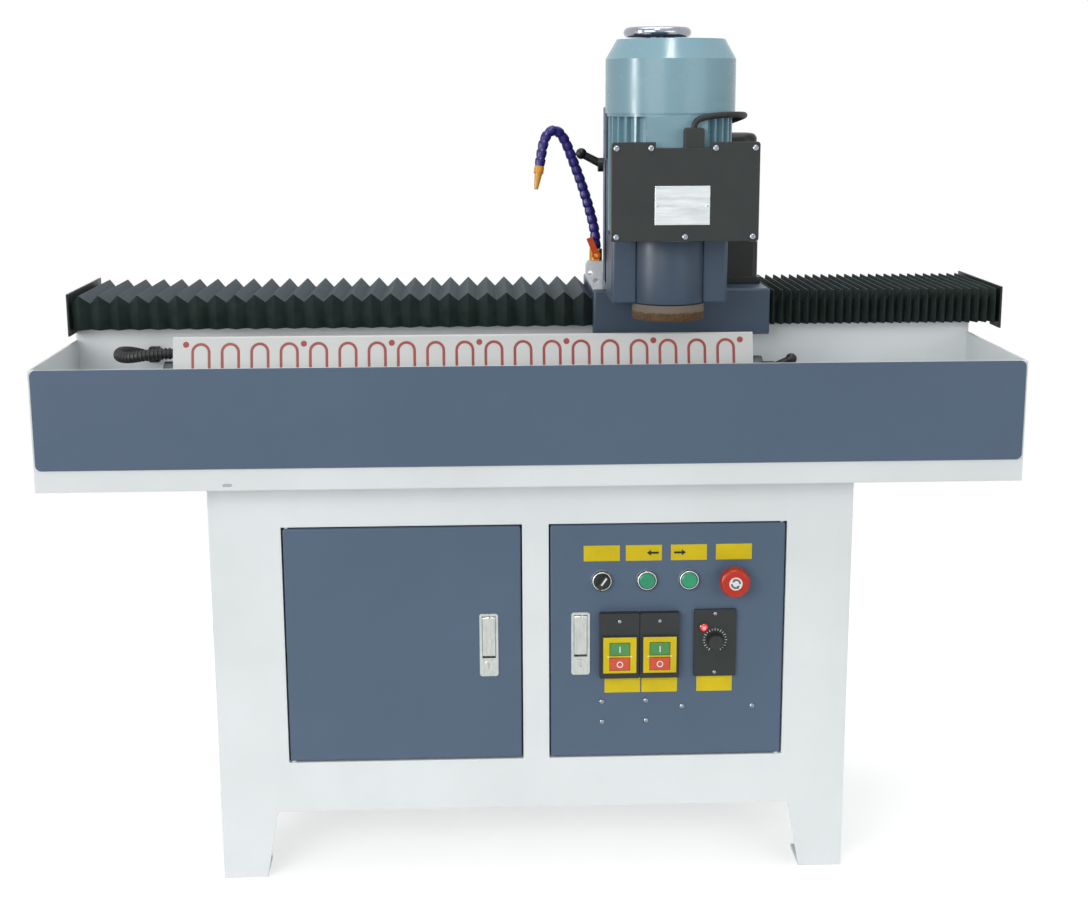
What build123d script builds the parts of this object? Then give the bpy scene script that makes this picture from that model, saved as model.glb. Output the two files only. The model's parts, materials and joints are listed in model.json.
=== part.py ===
"""Straight-knife grinding machine: cabinet, coolant tray, bed, carriage, grinding head and magnetic chuck.

Millimetres, +Z up, the operator stands at -Y, and the origin is on the floor under the machine's middle.
"""
from math import acos, atan2, cos, degrees, pi, radians, sin, tan
import os

from build123d import *

os.makedirs("parts", exist_ok=True)

# Fits and gaps
running = 0.05
clearance = 0.4
door_gap = 2.0
weld_sheet = 2.5

# Overall width of the tray, overhang of the bellows at its right end, and the overall depth
tray_width = 1326.0
bellows_overhang = 34.0
machine_depth = 500.0
bellows_reach = tray_width + bellows_overhang
front_y = -machine_depth / 2
rear_y = machine_depth / 2

# Coolant tray and its front panel
tray_height = 165.0
tray_sheet = 3.0
tray_left = -bellows_reach / 2
tray_right = tray_left + tray_width
tray_mid = (tray_left + tray_right) / 2
panel_thickness = 3.0
panel_height = 135.0
panel_margin = 3.0
panel_corner = 8.0
weep_slot_length = 12.0
weep_slot_width = 4.0
weep_slot_from_mid = 409.0
drain_radius = 16.0
drain_wall = 3.0
drain_drop = 70.0

# Cabinet with tapered legs
cabinet_width = 892.0
cabinet_height = 585.0
tray_overhang = 60.0
bed_overhang = 20.0
skirt_height = 100.0
leg_width_top = 80.5
leg_width_foot = 62.0
foot_plate = 6.0
cabinet_front = front_y + tray_overhang
cabinet_rear = rear_y - bed_overhang
cabinet_left = tray_mid - cabinet_width / 2
cabinet_right = tray_mid + cabinet_width / 2

# Doors
door_width = 328.5
door_height = 340.0
door_bottom = 176.5
door_thickness = 18.0
door_sheet = 2.0
door_corner = 4.0
door_edge_round = 3.0
door_top = door_bottom + door_height
left_door_from_mid = 345.5
right_door_from_mid = 24.0
left_door_x = tray_mid - left_door_from_mid
right_door_x = tray_mid + right_door_from_mid
frame_depth = 20.0
pivot_inset = 5.0
pivot_radius = 2.5
pivot_length = 12.0
pivot_y = cabinet_front + pivot_inset

# Bed box, rails and rack
bed_depth = 213.0
bed_height = 180.0
bed_wall = 8.0
bed_front = rear_y - bed_depth
bed_top = cabinet_height + bed_height
tray_top = cabinet_height + tray_height
tray_floor = cabinet_height + tray_sheet
rail_width = 20.0
rail_height = 18.0
rail_waist = 3.0
rail_end_gap = 12.0
front_rail_inset = 25.0
rail_spread = 113.0
front_rail_y = bed_front + front_rail_inset
rear_rail_y = front_rail_y + rail_spread
gear_module = 2.5
pinion_teeth = 18
pressure_angle = 20.0
backlash = 0.3
rack_height = 18.0
rack_back = 12.0
rack_margin = 30.0
traverse_left = 620.0
traverse_right = 115.0
pitch_radius = gear_module * pinion_teeth / 2
tooth_pitch = pi * gear_module
gear_from_mid = 305.0
gear_inset = 71.0
gear_x = tray_mid + gear_from_mid
gear_y = bed_front + gear_inset
rack_pitch_y = gear_y + pitch_radius

# Bellows over the rails
pleats = 27
bellows_forward = 44.0
bellows_depth = 220.0
bellows_rise = 54.0
bellows_gap = 4.0
bellows_front = bed_front - bellows_forward
bellows_rear = bellows_front + bellows_depth
bellows_top = bed_top + bellows_rise
bellows_bottom = bed_top + bellows_gap
bellows_wall = 2.0
left_fold = 12.0
right_fold = 15.0
end_plate = 3.0
end_plate_lip = 3.0
end_plate_drop = 8.0
end_foot_length = 60.0
end_foot_width = 70.0

# Carriage saddle, at rest right of the middle
saddle_from_mid = 95.5
saddle_width = 258.0
saddle_rise = 58.0
saddle_plate = 28.0
apron_thickness = 20.0
apron_drop = 9.0
apron_forward = 52.0
saddle_left = tray_mid + saddle_from_mid
saddle_top = bed_top + saddle_rise
apron_bottom = bed_top - apron_drop
apron_front = bed_front - apron_forward
saddle_right = saddle_left + saddle_width
saddle_mid = (saddle_left + saddle_right) / 2
saddle_under = saddle_top - saddle_plate
saddle_rear = bellows_rear
block_length = 78.0
block_width = 40.0
block_spread = 160.0

# Column, dovetail slide and feed screw
head_from_mid = 192.0
column_width = 140.0
column_depth = 104.0
column_height = 325.0
column_wall = 10.0
column_forward = 35.0
head_x = tray_mid + head_from_mid
column_front = bed_front - column_forward
column_top = saddle_top + column_height
column_slot = 44.0
cap_thickness = 12.0
cap_inset = 8.0
dovetail_width = 90.0
dovetail_depth = 14.0
dovetail_angle = 60.0
dovetail_play = 0.2
slide_width = 164.0
slide_thickness = 32.0
slide_height = 246.0
slide_rise = 13.0
slide_gap = 1.0
slide_left = head_x - slide_width / 2
slide_bottom = saddle_top + slide_rise
slide_top = slide_bottom + slide_height
slide_rear = column_front - slide_gap
slide_front = slide_rear - slide_thickness
screw_radius = 8.0
screw_y = column_front + column_depth / 2
nut_rise = 162.0
nut_height = 44.0
nut_z = saddle_top + nut_rise
feed_down = 10.0
feed_up = 50.0
handwheel_radius = 49.0
handwheel_rim = 7.5
handwheel_rise = 38.5
handwheel_z = column_top + handwheel_rise

# Grinding head, spindle and motor
head_reach = 122.0
head_y = column_front - head_reach
tube_radius = 49.0
tube_drop = 5.0
tube_height = 75.0
tube_bottom = saddle_top - tube_drop
flange_z = tube_bottom + tube_height
flange_thickness = 14.0
wing_thickness = 34.0
wing_reach = 18.0
wing_front = head_y - wing_reach
spindle_radius = 15.0
bearing_radius = 31.0
bearing_width = 16.0
rotor_radius = 44.0
frame_radius = 76.0
fin_height = 8.0
fin_thickness = 3.0
fin_count = 32
motor_bottom = flange_z + flange_thickness
frame_height = 176.0
frame_top = motor_bottom + frame_height
cowl_radius = 88.0
cowl_wall = 2.5
cowl_height = 89.0
cowl_top = frame_top + cowl_height
cowl_cone_height = 26.0
cowl_top_radius = 73.0
cowl_skirt = 8.0
fan_radius = 70.0
wheel_radius = 50.0
wheel_drop = 22.0
wheel_bottom = tube_bottom - wheel_drop
abrasive_height = 15.0
wheel_back = 6.0
abrasive_width = 18.0

# Terminal box on the motor's front
box_left_reach = 88.0
box_width = 195.0
box_rise = 3.0
box_height = 129.0
box_reach = 108.0
box_left = head_x - box_left_reach
box_bottom = motor_bottom + box_rise
box_front = head_y - box_reach
box_wall = 3.0
cover_thickness = 3.0
cover_notch_width = 73.0
cover_notch_depth = 8.0
entry_width = 26.0
entry_height = 18.0
cable_radius = 4.0

# Magnetic chuck on trunnions
chuck_length = 800.0
chuck_from_mid = 491.0
chuck_face_height = 100.0
chuck_thickness = 50.0
chuck_tilt = 15.0
chuck_forward = 4.0
chuck_drop = 74.0
chuck_left = tray_mid - chuck_from_mid
chuck_axis_y = head_y - chuck_forward
chuck_axis_z = wheel_bottom - chuck_drop
chuck_edge = 2.0
trunnion_radius = 12.0
bracket_thickness = 14.0
bracket_gap = 1.0
bracket_foot = 96.0
bracket_base = 12.0
bracket_head = 19.0
chuck_right = chuck_left + chuck_length
pole_loops = 19
pole_pitch = 40.2
pole_loop_width = 26.0
pole_line = 3.5
pole_depth = 4.0
pole_top = 41.0
pole_bottom = -41.0

# Chuck conduit, cable glands and cord routes
conduit_radius = 8.0
conduit_root = 6.8
conduit_bore = 5.5
conduit_rib_pitch = 5.5
conduit_exit = 30.0
gland_flange = 13.0
gland_flange_length = 12.0
gland_stub = 9.0
supply_bore = 7.0
supply_gland_z = 240.0
supply_gland_inset = 70.0
face_up = (sin(radians(chuck_tilt)), cos(radians(chuck_tilt)))
conduit_start_y = chuck_axis_y + conduit_exit * face_up[0]
conduit_start_z = chuck_axis_z + conduit_exit * face_up[1]
conduit_end_from_chuck = 57.0
conduit_end_rise = 6.0
conduit_end_x = chuck_left - conduit_end_from_chuck
conduit_end_z = chuck_axis_z + conduit_end_rise
conduit_end_y = bed_front - gland_flange_length

# Coolant tank, pump and control gear inside the cabinet
tank_width = 300.0
tank_depth = 260.0
tank_height = 150.0
tank_wall = 3.0
tank_from_door = 150.0
tank_setback = 5.0
tank_x = left_door_x + tank_from_door
tank_y = (cabinet_front + cabinet_rear) / 2 + tank_setback
pump_radius = 42.0
pump_height = 120.0
pump_flange = 8.0
drain_from_tank = 70.0
drain_forward = 72.0
drain_x = tank_x - drain_from_tank
drain_y = bed_front - drain_forward
plate_width = 300.0
plate_height = 330.0
plate_thickness = 3.0
gear_depth = 60.0


def block(x0, x1, y0, y1, z0, z1, mode=Mode.ADD):
    """Add or cut a box between two corners."""
    with Locations(((x0 + x1) / 2, (y0 + y1) / 2, (z0 + z1) / 2)):
        Box(x1 - x0, y1 - y0, z1 - z0, mode=mode)


def post(x, y, z0, z1, radius, mode=Mode.ADD):
    """Add or cut an upright cylinder."""
    with Locations((x, y, (z0 + z1) / 2)):
        Cylinder(radius, z1 - z0, mode=mode)


def bar(x0, x1, y, z, radius, mode=Mode.ADD):
    """Add or cut a cylinder that lies along X."""
    with Locations(Location(((x0 + x1) / 2, y, z), (0, 90, 0))):
        Cylinder(radius, x1 - x0, mode=mode)


def rod(x, y0, y1, z, radius, mode=Mode.ADD):
    """Add or cut a cylinder that lies along Y."""
    with Locations(Location((x, (y0 + y1) / 2, z), (90, 0, 0))):
        Cylinder(radius, y1 - y0, mode=mode)


def bend_radii(route):
    """The largest radius that each corner of a route has room for."""
    radii = []
    for before, corner, after in zip(route, route[1:], route[2:]):
        into = Vector(*corner) - Vector(*before)
        out = Vector(*after) - Vector(*corner)
        half_turn = radians(into.get_angle(out)) / 2
        radii.append(0.45 * min(into.length, out.length) / tan(half_turn))
    return radii


def tube_planes(path, stations, steady):
    """Planes square to a path at the given lengths, with their X axes kept near one steady direction."""
    planes = []
    for station in stations:
        place = station / path.length
        along = path % place
        across = steady - along * steady.dot(along)
        planes.append(Plane(origin=path @ place, x_dir=across, z_dir=along))
    return planes


def ribbed_sections(path, pitch, crest, root, steady):
    """Circles of a ribbed tube: root, crest, crest and root for each rib."""
    count = round(path.length / pitch)
    step = path.length / count
    stations = [step * (rib + share) for rib in range(count) for share in (0.0, 0.25, 0.65, 0.9)]
    stations.append(path.length)
    planes = tube_planes(path, stations, steady)
    radii = [root, crest, crest, root] * count + [root]
    return [plane * Circle(radius) for plane, radius in zip(planes, radii)]


def bore_sections(path, pitch, radius, steady):
    """Circles of the bore through a ribbed tube."""
    count = round(path.length / pitch)
    stations = [path.length * index / count for index in range(count + 1)]
    return [plane * Circle(radius) for plane in tube_planes(path, stations, steady)]


# Cabinet front: sheet with two tapered legs and a folded frame round each door opening
door_spots = (left_door_x, right_door_x)
pivot_xs = (left_door_x + pivot_inset, right_door_x + door_width - pivot_inset)
divider_x = (left_door_x + door_width + right_door_x) / 2
frame_reach = door_gap + weld_sheet
inner_left = cabinet_left + weld_sheet
inner_right = cabinet_right - weld_sheet
inner_front = cabinet_front + weld_sheet
inner_rear = cabinet_rear - weld_sheet


def leg_gap(low, high):
    """Corners of the gap between two tapered legs that stand between two sides of the cabinet."""
    return (
        (low + leg_width_foot, 0),
        (low + leg_width_top, skirt_height),
        (high - leg_width_top, skirt_height),
        (high - leg_width_foot, 0),
    )


with BuildPart() as front_sheet:
    block(cabinet_left, cabinet_right, cabinet_front, inner_front, 0, cabinet_height)
    for x in door_spots:
        block(
            x - frame_reach,
            x + door_width + frame_reach,
            cabinet_front,
            cabinet_front + frame_depth,
            door_bottom - frame_reach,
            door_top + frame_reach,
        )
        block(
            x - door_gap,
            x + door_width + door_gap,
            cabinet_front,
            cabinet_front + frame_depth,
            door_bottom - door_gap,
            door_top + door_gap,
            Mode.SUBTRACT,
        )
    with BuildSketch(Plane.XZ.offset(-inner_front)):
        with BuildLine():
            Polyline(*leg_gap(cabinet_left, cabinet_right), close=True)
        make_face()
    extrude(amount=weld_sheet, mode=Mode.SUBTRACT)
    for x in pivot_xs:
        post(x, pivot_y, door_top - pivot_length, door_top + frame_reach, pivot_radius)
        post(x, pivot_y, door_bottom - frame_reach, door_bottom + pivot_length, pivot_radius)
front_sheet.part.label = "front_sheet"
export_step(front_sheet.part, "parts/front_sheet.step")

# Cabinet rear: sheet with two tapered legs and the supply gland's hole
with BuildPart() as rear_sheet:
    block(cabinet_left, cabinet_right, inner_rear, cabinet_rear, 0, cabinet_height)
    with BuildSketch(Plane.XZ.offset(-cabinet_rear)):
        with BuildLine():
            Polyline(*leg_gap(cabinet_left, cabinet_right), close=True)
        make_face()
    extrude(amount=weld_sheet, mode=Mode.SUBTRACT)
    rod(
        cabinet_right - supply_gland_inset,
        inner_rear,
        cabinet_rear,
        supply_gland_z,
        gland_stub + clearance,
        Mode.SUBTRACT,
    )
rear_sheet.part.label = "rear_sheet"
export_step(rear_sheet.part, "parts/rear_sheet.step")

# Cabinet sides on tapered legs, and the divider between the two compartments
with BuildPart() as side_sheets:
    block(cabinet_left, inner_left, inner_front, inner_rear, 0, cabinet_height)
    block(inner_right, cabinet_right, inner_front, inner_rear, 0, cabinet_height)
    with BuildSketch(Plane.YZ.offset(cabinet_left)):
        with BuildLine():
            Polyline(*leg_gap(cabinet_front, cabinet_rear), close=True)
        make_face()
    extrude(amount=cabinet_width, mode=Mode.SUBTRACT)
    block(
        divider_x - weld_sheet / 2,
        divider_x + weld_sheet / 2,
        inner_front,
        inner_rear,
        skirt_height + weld_sheet,
        cabinet_height - weld_sheet,
    )
side_sheets.part.label = "side_sheets"
export_step(side_sheets.part, "parts/side_sheets.step")

# Cabinet floor, top and the four foot plates
drain_hole = drain_radius + clearance
with BuildPart() as level_sheets:
    for z in (skirt_height, cabinet_height - weld_sheet):
        block(inner_left, inner_right, inner_front, inner_rear, z, z + weld_sheet)
    for x0, x1 in (
        (inner_left, cabinet_left + leg_width_foot),
        (cabinet_right - leg_width_foot, inner_right),
    ):
        block(x0, x1, inner_front, cabinet_front + leg_width_foot, 0, foot_plate)
        block(x0, x1, cabinet_rear - leg_width_foot, inner_rear, 0, foot_plate)
    post(drain_x, drain_y, cabinet_height - weld_sheet, cabinet_height, drain_hole, Mode.SUBTRACT)
level_sheets.part.label = "level_sheets"
export_step(level_sheets.part, "parts/level_sheets.step")

# Coolant tray: folded pan, closed at the back by the bed, with a drain spout welded into its floor
with BuildPart() as tray:
    block(tray_left, tray_right, front_y + panel_thickness, bed_front, cabinet_height, tray_top)
    block(
        tray_left + tray_sheet,
        tray_right - tray_sheet,
        front_y + panel_thickness + tray_sheet,
        bed_front,
        tray_floor,
        tray_top,
        Mode.SUBTRACT,
    )
    post(drain_x, drain_y, cabinet_height - drain_drop, tray_floor, drain_radius)
    post(drain_x, drain_y, cabinet_height - drain_drop, tray_floor, drain_radius - drain_wall, Mode.SUBTRACT)
    with BuildSketch(Plane.XZ.offset(-front_y - panel_thickness - tray_sheet)):
        with Locations((tray_mid - weep_slot_from_mid, tray_floor + weep_slot_width)):
            SlotOverall(weep_slot_length, weep_slot_width)
    extrude(amount=tray_sheet, mode=Mode.SUBTRACT)
tray.part.label = "tray"
export_step(tray.part, "parts/tray.step")

# Front panel: painted plate on the tray's front, with rounded lower corners
with BuildPart() as front_panel:
    with BuildSketch(Plane.XZ.offset(-front_y - panel_thickness)):
        with Locations((tray_mid, tray_top - panel_height / 2)):
            Rectangle(tray_width - 2 * panel_margin, panel_height)
        fillet(vertices().group_by(Axis.Z)[0], panel_corner)
    extrude(amount=panel_thickness)
front_panel.part.label = "front_panel"
export_step(front_panel.part, "parts/front_panel.step")

# Bed: welded box behind the tray, with hand holes in its floor
hand_hole_length = 220.0
hand_hole_width = 110.0
hand_hole_spread = 520.0
hand_hole_corner = 20.0
bed_mid_y = (bed_front + rear_y) / 2
with BuildPart() as bed:
    block(tray_left, tray_right, bed_front, rear_y, cabinet_height, bed_top)
    block(
        tray_left + bed_wall,
        tray_right - bed_wall,
        bed_front + bed_wall,
        rear_y - bed_wall,
        cabinet_height + bed_wall,
        bed_top - bed_wall,
        Mode.SUBTRACT,
    )
    with BuildSketch(Plane.XY.offset(cabinet_height)):
        with Locations((tray_mid, bed_mid_y)):
            with GridLocations(hand_hole_spread, 1, 2, 1):
                RectangleRounded(hand_hole_length, hand_hole_width, hand_hole_corner)
    extrude(amount=bed_wall, mode=Mode.SUBTRACT)
    rod(conduit_end_x, bed_front, bed_front + bed_wall, conduit_end_z, gland_stub + clearance, Mode.SUBTRACT)
bed.part.label = "bed"
export_step(bed.part, "parts/bed.step")

# Two linear rails on the bed, waisted at their sides, and a rack whose teeth point at the pinion
waist_start = bed_top + rail_height * 0.35
waist_middle = bed_top + rail_height * 0.6
waist_end = bed_top + rail_height * 0.8
tooth_slope = tan(radians(pressure_angle))
tooth_half = tooth_pitch / 4 - backlash / 4
addendum = gear_module
dedendum = 1.25 * gear_module
teeth_left = int((traverse_left + rack_margin) / tooth_pitch) + 1
teeth_right = int((traverse_right + rack_margin) / tooth_pitch) + 1
rack_tip_y = rack_pitch_y - addendum
rack_root_y = rack_pitch_y + dedendum
rack_rear_y = rack_root_y + rack_back
rack_outline = []
for tooth in range(-teeth_left, teeth_right + 1):
    middle = gear_x + tooth * tooth_pitch
    root_half = tooth_half + dedendum * tooth_slope
    tip_half = tooth_half - addendum * tooth_slope
    rack_outline.append((middle - root_half, rack_root_y))
    rack_outline.append((middle - tip_half, rack_tip_y))
    rack_outline.append((middle + tip_half, rack_tip_y))
    rack_outline.append((middle + root_half, rack_root_y))
rack_outline.append((rack_outline[-1][0], rack_rear_y))
rack_outline.append((rack_outline[0][0], rack_rear_y))
with BuildPart() as rails_and_rack:
    for y in (front_rail_y, rear_rail_y):
        with BuildSketch(Plane.YZ.offset(tray_left + rail_end_gap)):
            with BuildLine():
                Polyline(
                    (y - rail_width / 2, bed_top),
                    (y - rail_width / 2, waist_start),
                    (y - rail_width / 2 + rail_waist, waist_middle),
                    (y - rail_width / 2, waist_end),
                    (y - rail_width / 2, bed_top + rail_height),
                    (y + rail_width / 2, bed_top + rail_height),
                    (y + rail_width / 2, waist_end),
                    (y + rail_width / 2 - rail_waist, waist_middle),
                    (y + rail_width / 2, waist_start),
                    (y + rail_width / 2, bed_top),
                    close=True,
                )
            make_face()
        extrude(amount=tray_width - 2 * rail_end_gap)
    with BuildSketch(Plane.XY.offset(bed_top)):
        with BuildLine():
            Polyline(*rack_outline, close=True)
        make_face()
    extrude(amount=rack_height)
rails_and_rack.part.label = "rails_and_rack"
export_step(rails_and_rack.part, "parts/rails_and_rack.step")


def bellows_outline(inset):
    """Section of the folded cover: an arch that is open below, drawn in by the depth of a fold."""
    front = bellows_front + inset
    rear = bellows_rear - inset
    top = bellows_top - inset
    return (
        (front, bellows_bottom),
        (front, top),
        (rear, top),
        (rear, bellows_bottom),
        (rear - bellows_wall, bellows_bottom),
        (rear - bellows_wall, top - bellows_wall),
        (front + bellows_wall, top - bellows_wall),
        (front + bellows_wall, bellows_bottom),
    )


# Bellows: the left one is drawn out, and the right one is pushed together
bellows_left_start = tray_left + end_plate
bellows_right_end = bellows_reach / 2 - end_plate
folds = range(2 * pleats + 1)
left_pleat = (saddle_left - bellows_left_start) / (2 * pleats)
right_pleat = (bellows_right_end - saddle_right) / (2 * pleats)
with BuildPart() as bellows_left:
    for fold in folds:
        with BuildSketch(Plane.YZ.offset(bellows_left_start + fold * left_pleat)):
            with BuildLine():
                Polyline(*bellows_outline(0 if fold % 2 else left_fold), close=True)
            make_face()
    loft(ruled=True)
bellows_left.part.label = "bellows_left"
export_step(bellows_left.part, "parts/bellows_left.step")

with BuildPart() as bellows_right:
    for fold in folds:
        with BuildSketch(Plane.YZ.offset(saddle_right + fold * right_pleat)):
            with BuildLine():
                Polyline(*bellows_outline(0 if fold % 2 else right_fold), close=True)
            make_face()
    loft(ruled=True)
bellows_right.part.label = "bellows_right"
export_step(bellows_right.part, "parts/bellows_right.step")

# End plates of the bellows, each with a foot on the bed between the rails
foot_mid_y = (front_rail_y + rear_rail_y) / 2
with BuildPart() as bellows_plates:
    for x in (tray_left, bellows_right_end):
        with BuildSketch(Plane.YZ.offset(x)):
            with BuildLine():
                Polyline(
                    (bellows_front - end_plate_lip, bellows_bottom - end_plate_drop),
                    (bellows_front - end_plate_lip, bellows_top + end_plate_lip),
                    (bellows_rear + end_plate_lip, bellows_top + end_plate_lip),
                    (bellows_rear + end_plate_lip, bed_top),
                    (bed_front - clearance, bed_top),
                    (bed_front - clearance, bellows_bottom - end_plate_drop),
                    close=True,
                )
            make_face()
        extrude(amount=end_plate)
    for x0, x1 in (
        (tray_left, tray_left + end_foot_length),
        (tray_right - end_foot_length, bellows_right_end + end_plate),
    ):
        block(
            x0,
            x1,
            foot_mid_y - end_foot_width / 2,
            foot_mid_y + end_foot_width / 2,
            bed_top,
            bed_top + end_plate,
        )
bellows_plates.part.label = "bellows_plates"
export_step(bellows_plates.part, "parts/bellows_plates.step")

# Chuck brackets: upright plates on the tray floor with a bore for the trunnions
with BuildPart() as chuck_brackets:
    for x in (chuck_left - bracket_gap - bracket_thickness, chuck_right + bracket_gap):
        with BuildSketch(Plane.YZ.offset(x)):
            with Locations((chuck_axis_y, chuck_axis_z)):
                Circle(bracket_head)
            with Locations((chuck_axis_y, tray_floor + bracket_base / 2)):
                Rectangle(bracket_foot, bracket_base)
            make_hull()
            with Locations((chuck_axis_y, chuck_axis_z)):
                Circle(trunnion_radius + running, mode=Mode.SUBTRACT)
        extrude(amount=bracket_thickness)
        middle = x + bracket_thickness / 2
        block(
            middle - bracket_foot / 3,
            middle + bracket_foot / 3,
            chuck_axis_y - bracket_foot / 2,
            chuck_axis_y + bracket_foot / 2,
            tray_floor,
            tray_floor + bracket_base,
        )
chuck_brackets.part.label = "chuck_brackets"
export_step(chuck_brackets.part, "parts/chuck_brackets.step")

# Corrugated conduit from the chuck's left end round to the bed wall
conduit_route = (
    (chuck_left, conduit_start_y, conduit_start_z),
    (chuck_left - 30.0, conduit_start_y, conduit_start_z),
    (chuck_left - 65.0, chuck_axis_y + 15.0, chuck_axis_z + 22.0),
    (chuck_left - 87.0, chuck_axis_y + 42.0, chuck_axis_z + 20.0),
    (chuck_left - 91.0, chuck_axis_y + 78.0, chuck_axis_z + 22.0),
    (chuck_left - 77.0, chuck_axis_y + 111.0, chuck_axis_z + 16.0),
    (conduit_end_x, conduit_end_y - 21.0, conduit_end_z),
    (conduit_end_x, conduit_end_y, conduit_end_z),
)
with BuildLine() as conduit_line:
    FilletPolyline(*conduit_route, radius=bend_radii(conduit_route))
conduit_path = conduit_line.wire()
upright = Vector(0, 0, 1)
conduit_skin = ribbed_sections(conduit_path, conduit_rib_pitch, conduit_radius, conduit_root, upright)
conduit_hole = bore_sections(conduit_path, conduit_rib_pitch, conduit_bore, upright)
with BuildPart() as chuck_conduit:
    loft(conduit_skin, ruled=True)
    loft(conduit_hole, ruled=True, mode=Mode.SUBTRACT)
chuck_conduit.part.label = "chuck_conduit"
export_step(chuck_conduit.part, "parts/chuck_conduit.step")

# Cable glands: one for the conduit in the bed wall, one for the supply at the cabinet's rear
supply_x = cabinet_right - supply_gland_inset
with BuildPart() as cable_glands:
    with BuildSketch(Plane.XZ.offset(-bed_front)):
        with Locations((conduit_end_x, conduit_end_z)):
            RegularPolygon(gland_flange, 6)
    extrude(amount=gland_flange_length)
    rod(conduit_end_x, bed_front, bed_front + bed_wall, conduit_end_z, gland_stub)
    rod(
        conduit_end_x,
        bed_front - gland_flange_length,
        bed_front + bed_wall,
        conduit_end_z,
        conduit_bore,
        Mode.SUBTRACT,
    )
    with BuildSketch(Plane.XZ.offset(-cabinet_rear - gland_flange_length)):
        with Locations((supply_x, supply_gland_z)):
            RegularPolygon(gland_flange, 6)
    extrude(amount=gland_flange_length)
    rod(supply_x, cabinet_rear - gland_flange_length, cabinet_rear, supply_gland_z, gland_stub)
    rod(
        supply_x,
        cabinet_rear - gland_flange_length,
        cabinet_rear + gland_flange_length,
        supply_gland_z,
        supply_bore,
        Mode.SUBTRACT,
    )
cable_glands.part.label = "cable_glands"
export_step(cable_glands.part, "parts/cable_glands.step")

# Coolant tank: open pan
compartment_floor = skirt_height + weld_sheet
tank_top = compartment_floor + tank_height
pump_inset = 70.0
bridge_margin = 14.0
suction_step = 12.0
suction_clear = 25.0
pump_x = tank_x + tank_width / 2 - pump_inset
bridge_left = pump_x - pump_radius - bridge_margin
suction_radius = pump_radius - suction_step
suction_depth = tank_height - suction_clear
with BuildPart() as coolant_tank:
    block(
        tank_x - tank_width / 2,
        tank_x + tank_width / 2,
        tank_y - tank_depth / 2,
        tank_y + tank_depth / 2,
        compartment_floor,
        tank_top,
    )
    block(
        tank_x - tank_width / 2 + tank_wall,
        tank_x + tank_width / 2 - tank_wall,
        tank_y - tank_depth / 2 + tank_wall,
        tank_y + tank_depth / 2 - tank_wall,
        compartment_floor + tank_wall,
        tank_top,
        Mode.SUBTRACT,
    )
coolant_tank.part.label = "coolant_tank"
export_step(coolant_tank.part, "parts/coolant_tank.step")

# Coolant pump: bridge plate on the tank's rim, motor above it, suction body in the tank
pump_flange_reach = 8.0
pump_round = 10.0
outlet_reach = 40.0
outlet_rise = 14.0
outlet_radius = 9.0
with BuildPart() as coolant_pump:
    block(
        bridge_left,
        tank_x + tank_width / 2,
        tank_y - tank_depth / 2,
        tank_y + tank_depth / 2,
        tank_top,
        tank_top + tank_wall,
    )
    post(pump_x, tank_y, tank_top, tank_top + pump_flange, pump_radius + pump_flange_reach)
    post(pump_x, tank_y, tank_top, tank_top + pump_height, pump_radius)
    fillet(edges().filter_by(GeomType.CIRCLE).sort_by(Axis.Z)[-1], pump_round)
    post(pump_x, tank_y, tank_top - suction_depth, tank_top, suction_radius)
    outlet_z = tank_top + pump_flange + outlet_rise
    bar(pump_x - pump_radius - outlet_reach, pump_x, tank_y, outlet_z, outlet_radius)
coolant_pump.part.label = "coolant_pump"
export_step(coolant_pump.part, "parts/coolant_pump.step")

# Control plate on the compartment's rear wall, with switchgear on two mounting rails
plate_x = right_door_x + door_width / 2
standoff_length = 12.0
plate_rear = cabinet_rear - weld_sheet - standoff_length
plate_bottom = door_bottom
standoff_inset = 15.0
standoff_radius = 6.0
rail_inset = 10.0
rail_depth = 7.0
rail_half = 17.0
gear_half = 40.0
rail_rises = (90.0, 230.0)
gear_rear = plate_rear - plate_thickness - rail_depth
gear_row = ((-100.0, 50.0), (-40.0, 50.0), (20.0, 50.0), (95.0, 70.0))
with BuildPart() as control_plate:
    block(
        plate_x - plate_width / 2,
        plate_x + plate_width / 2,
        plate_rear - plate_thickness,
        plate_rear,
        plate_bottom,
        plate_bottom + plate_height,
    )
    for x in (plate_x - plate_width / 2 + standoff_inset, plate_x + plate_width / 2 - standoff_inset):
        for z in (plate_bottom + standoff_inset, plate_bottom + plate_height - standoff_inset):
            rod(x, plate_rear, cabinet_rear - weld_sheet, z, standoff_radius)
    for rise in rail_rises:
        z = plate_bottom + rise
        block(
            plate_x - plate_width / 2 + rail_inset,
            plate_x + plate_width / 2 - rail_inset,
            gear_rear,
            plate_rear - plate_thickness,
            z - rail_half,
            z + rail_half,
        )
        for offset_x, wide in gear_row:
            block(
                plate_x + offset_x - wide / 2,
                plate_x + offset_x + wide / 2,
                plate_rear - plate_thickness - gear_depth,
                gear_rear,
                z - gear_half,
                z + gear_half,
            )
control_plate.part.label = "control_plate"
export_step(control_plate.part, "parts/control_plate.step")

# Saddle: thick plate over the rails with an apron in front and a bore for the pinion shaft
pinion_shaft = 8.0
pinion_bore_gap = 2.0
saddle_corner = 4.0
with BuildPart() as saddle:
    block(saddle_left, saddle_right, apron_front, saddle_rear, saddle_under, saddle_top)
    block(saddle_left, saddle_right, apron_front, apron_front + apron_thickness, apron_bottom, saddle_top)
    fillet(edges().filter_by(Axis.Y).group_by(Axis.Z)[-1], saddle_corner)
    fillet(edges().filter_by(Axis.Z).group_by(Axis.Y)[0], saddle_corner)
    post(gear_x, gear_y, saddle_under, saddle_top, pinion_shaft + pinion_bore_gap, Mode.SUBTRACT)
saddle.part.label = "saddle"
export_step(saddle.part, "parts/saddle.step")

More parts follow.
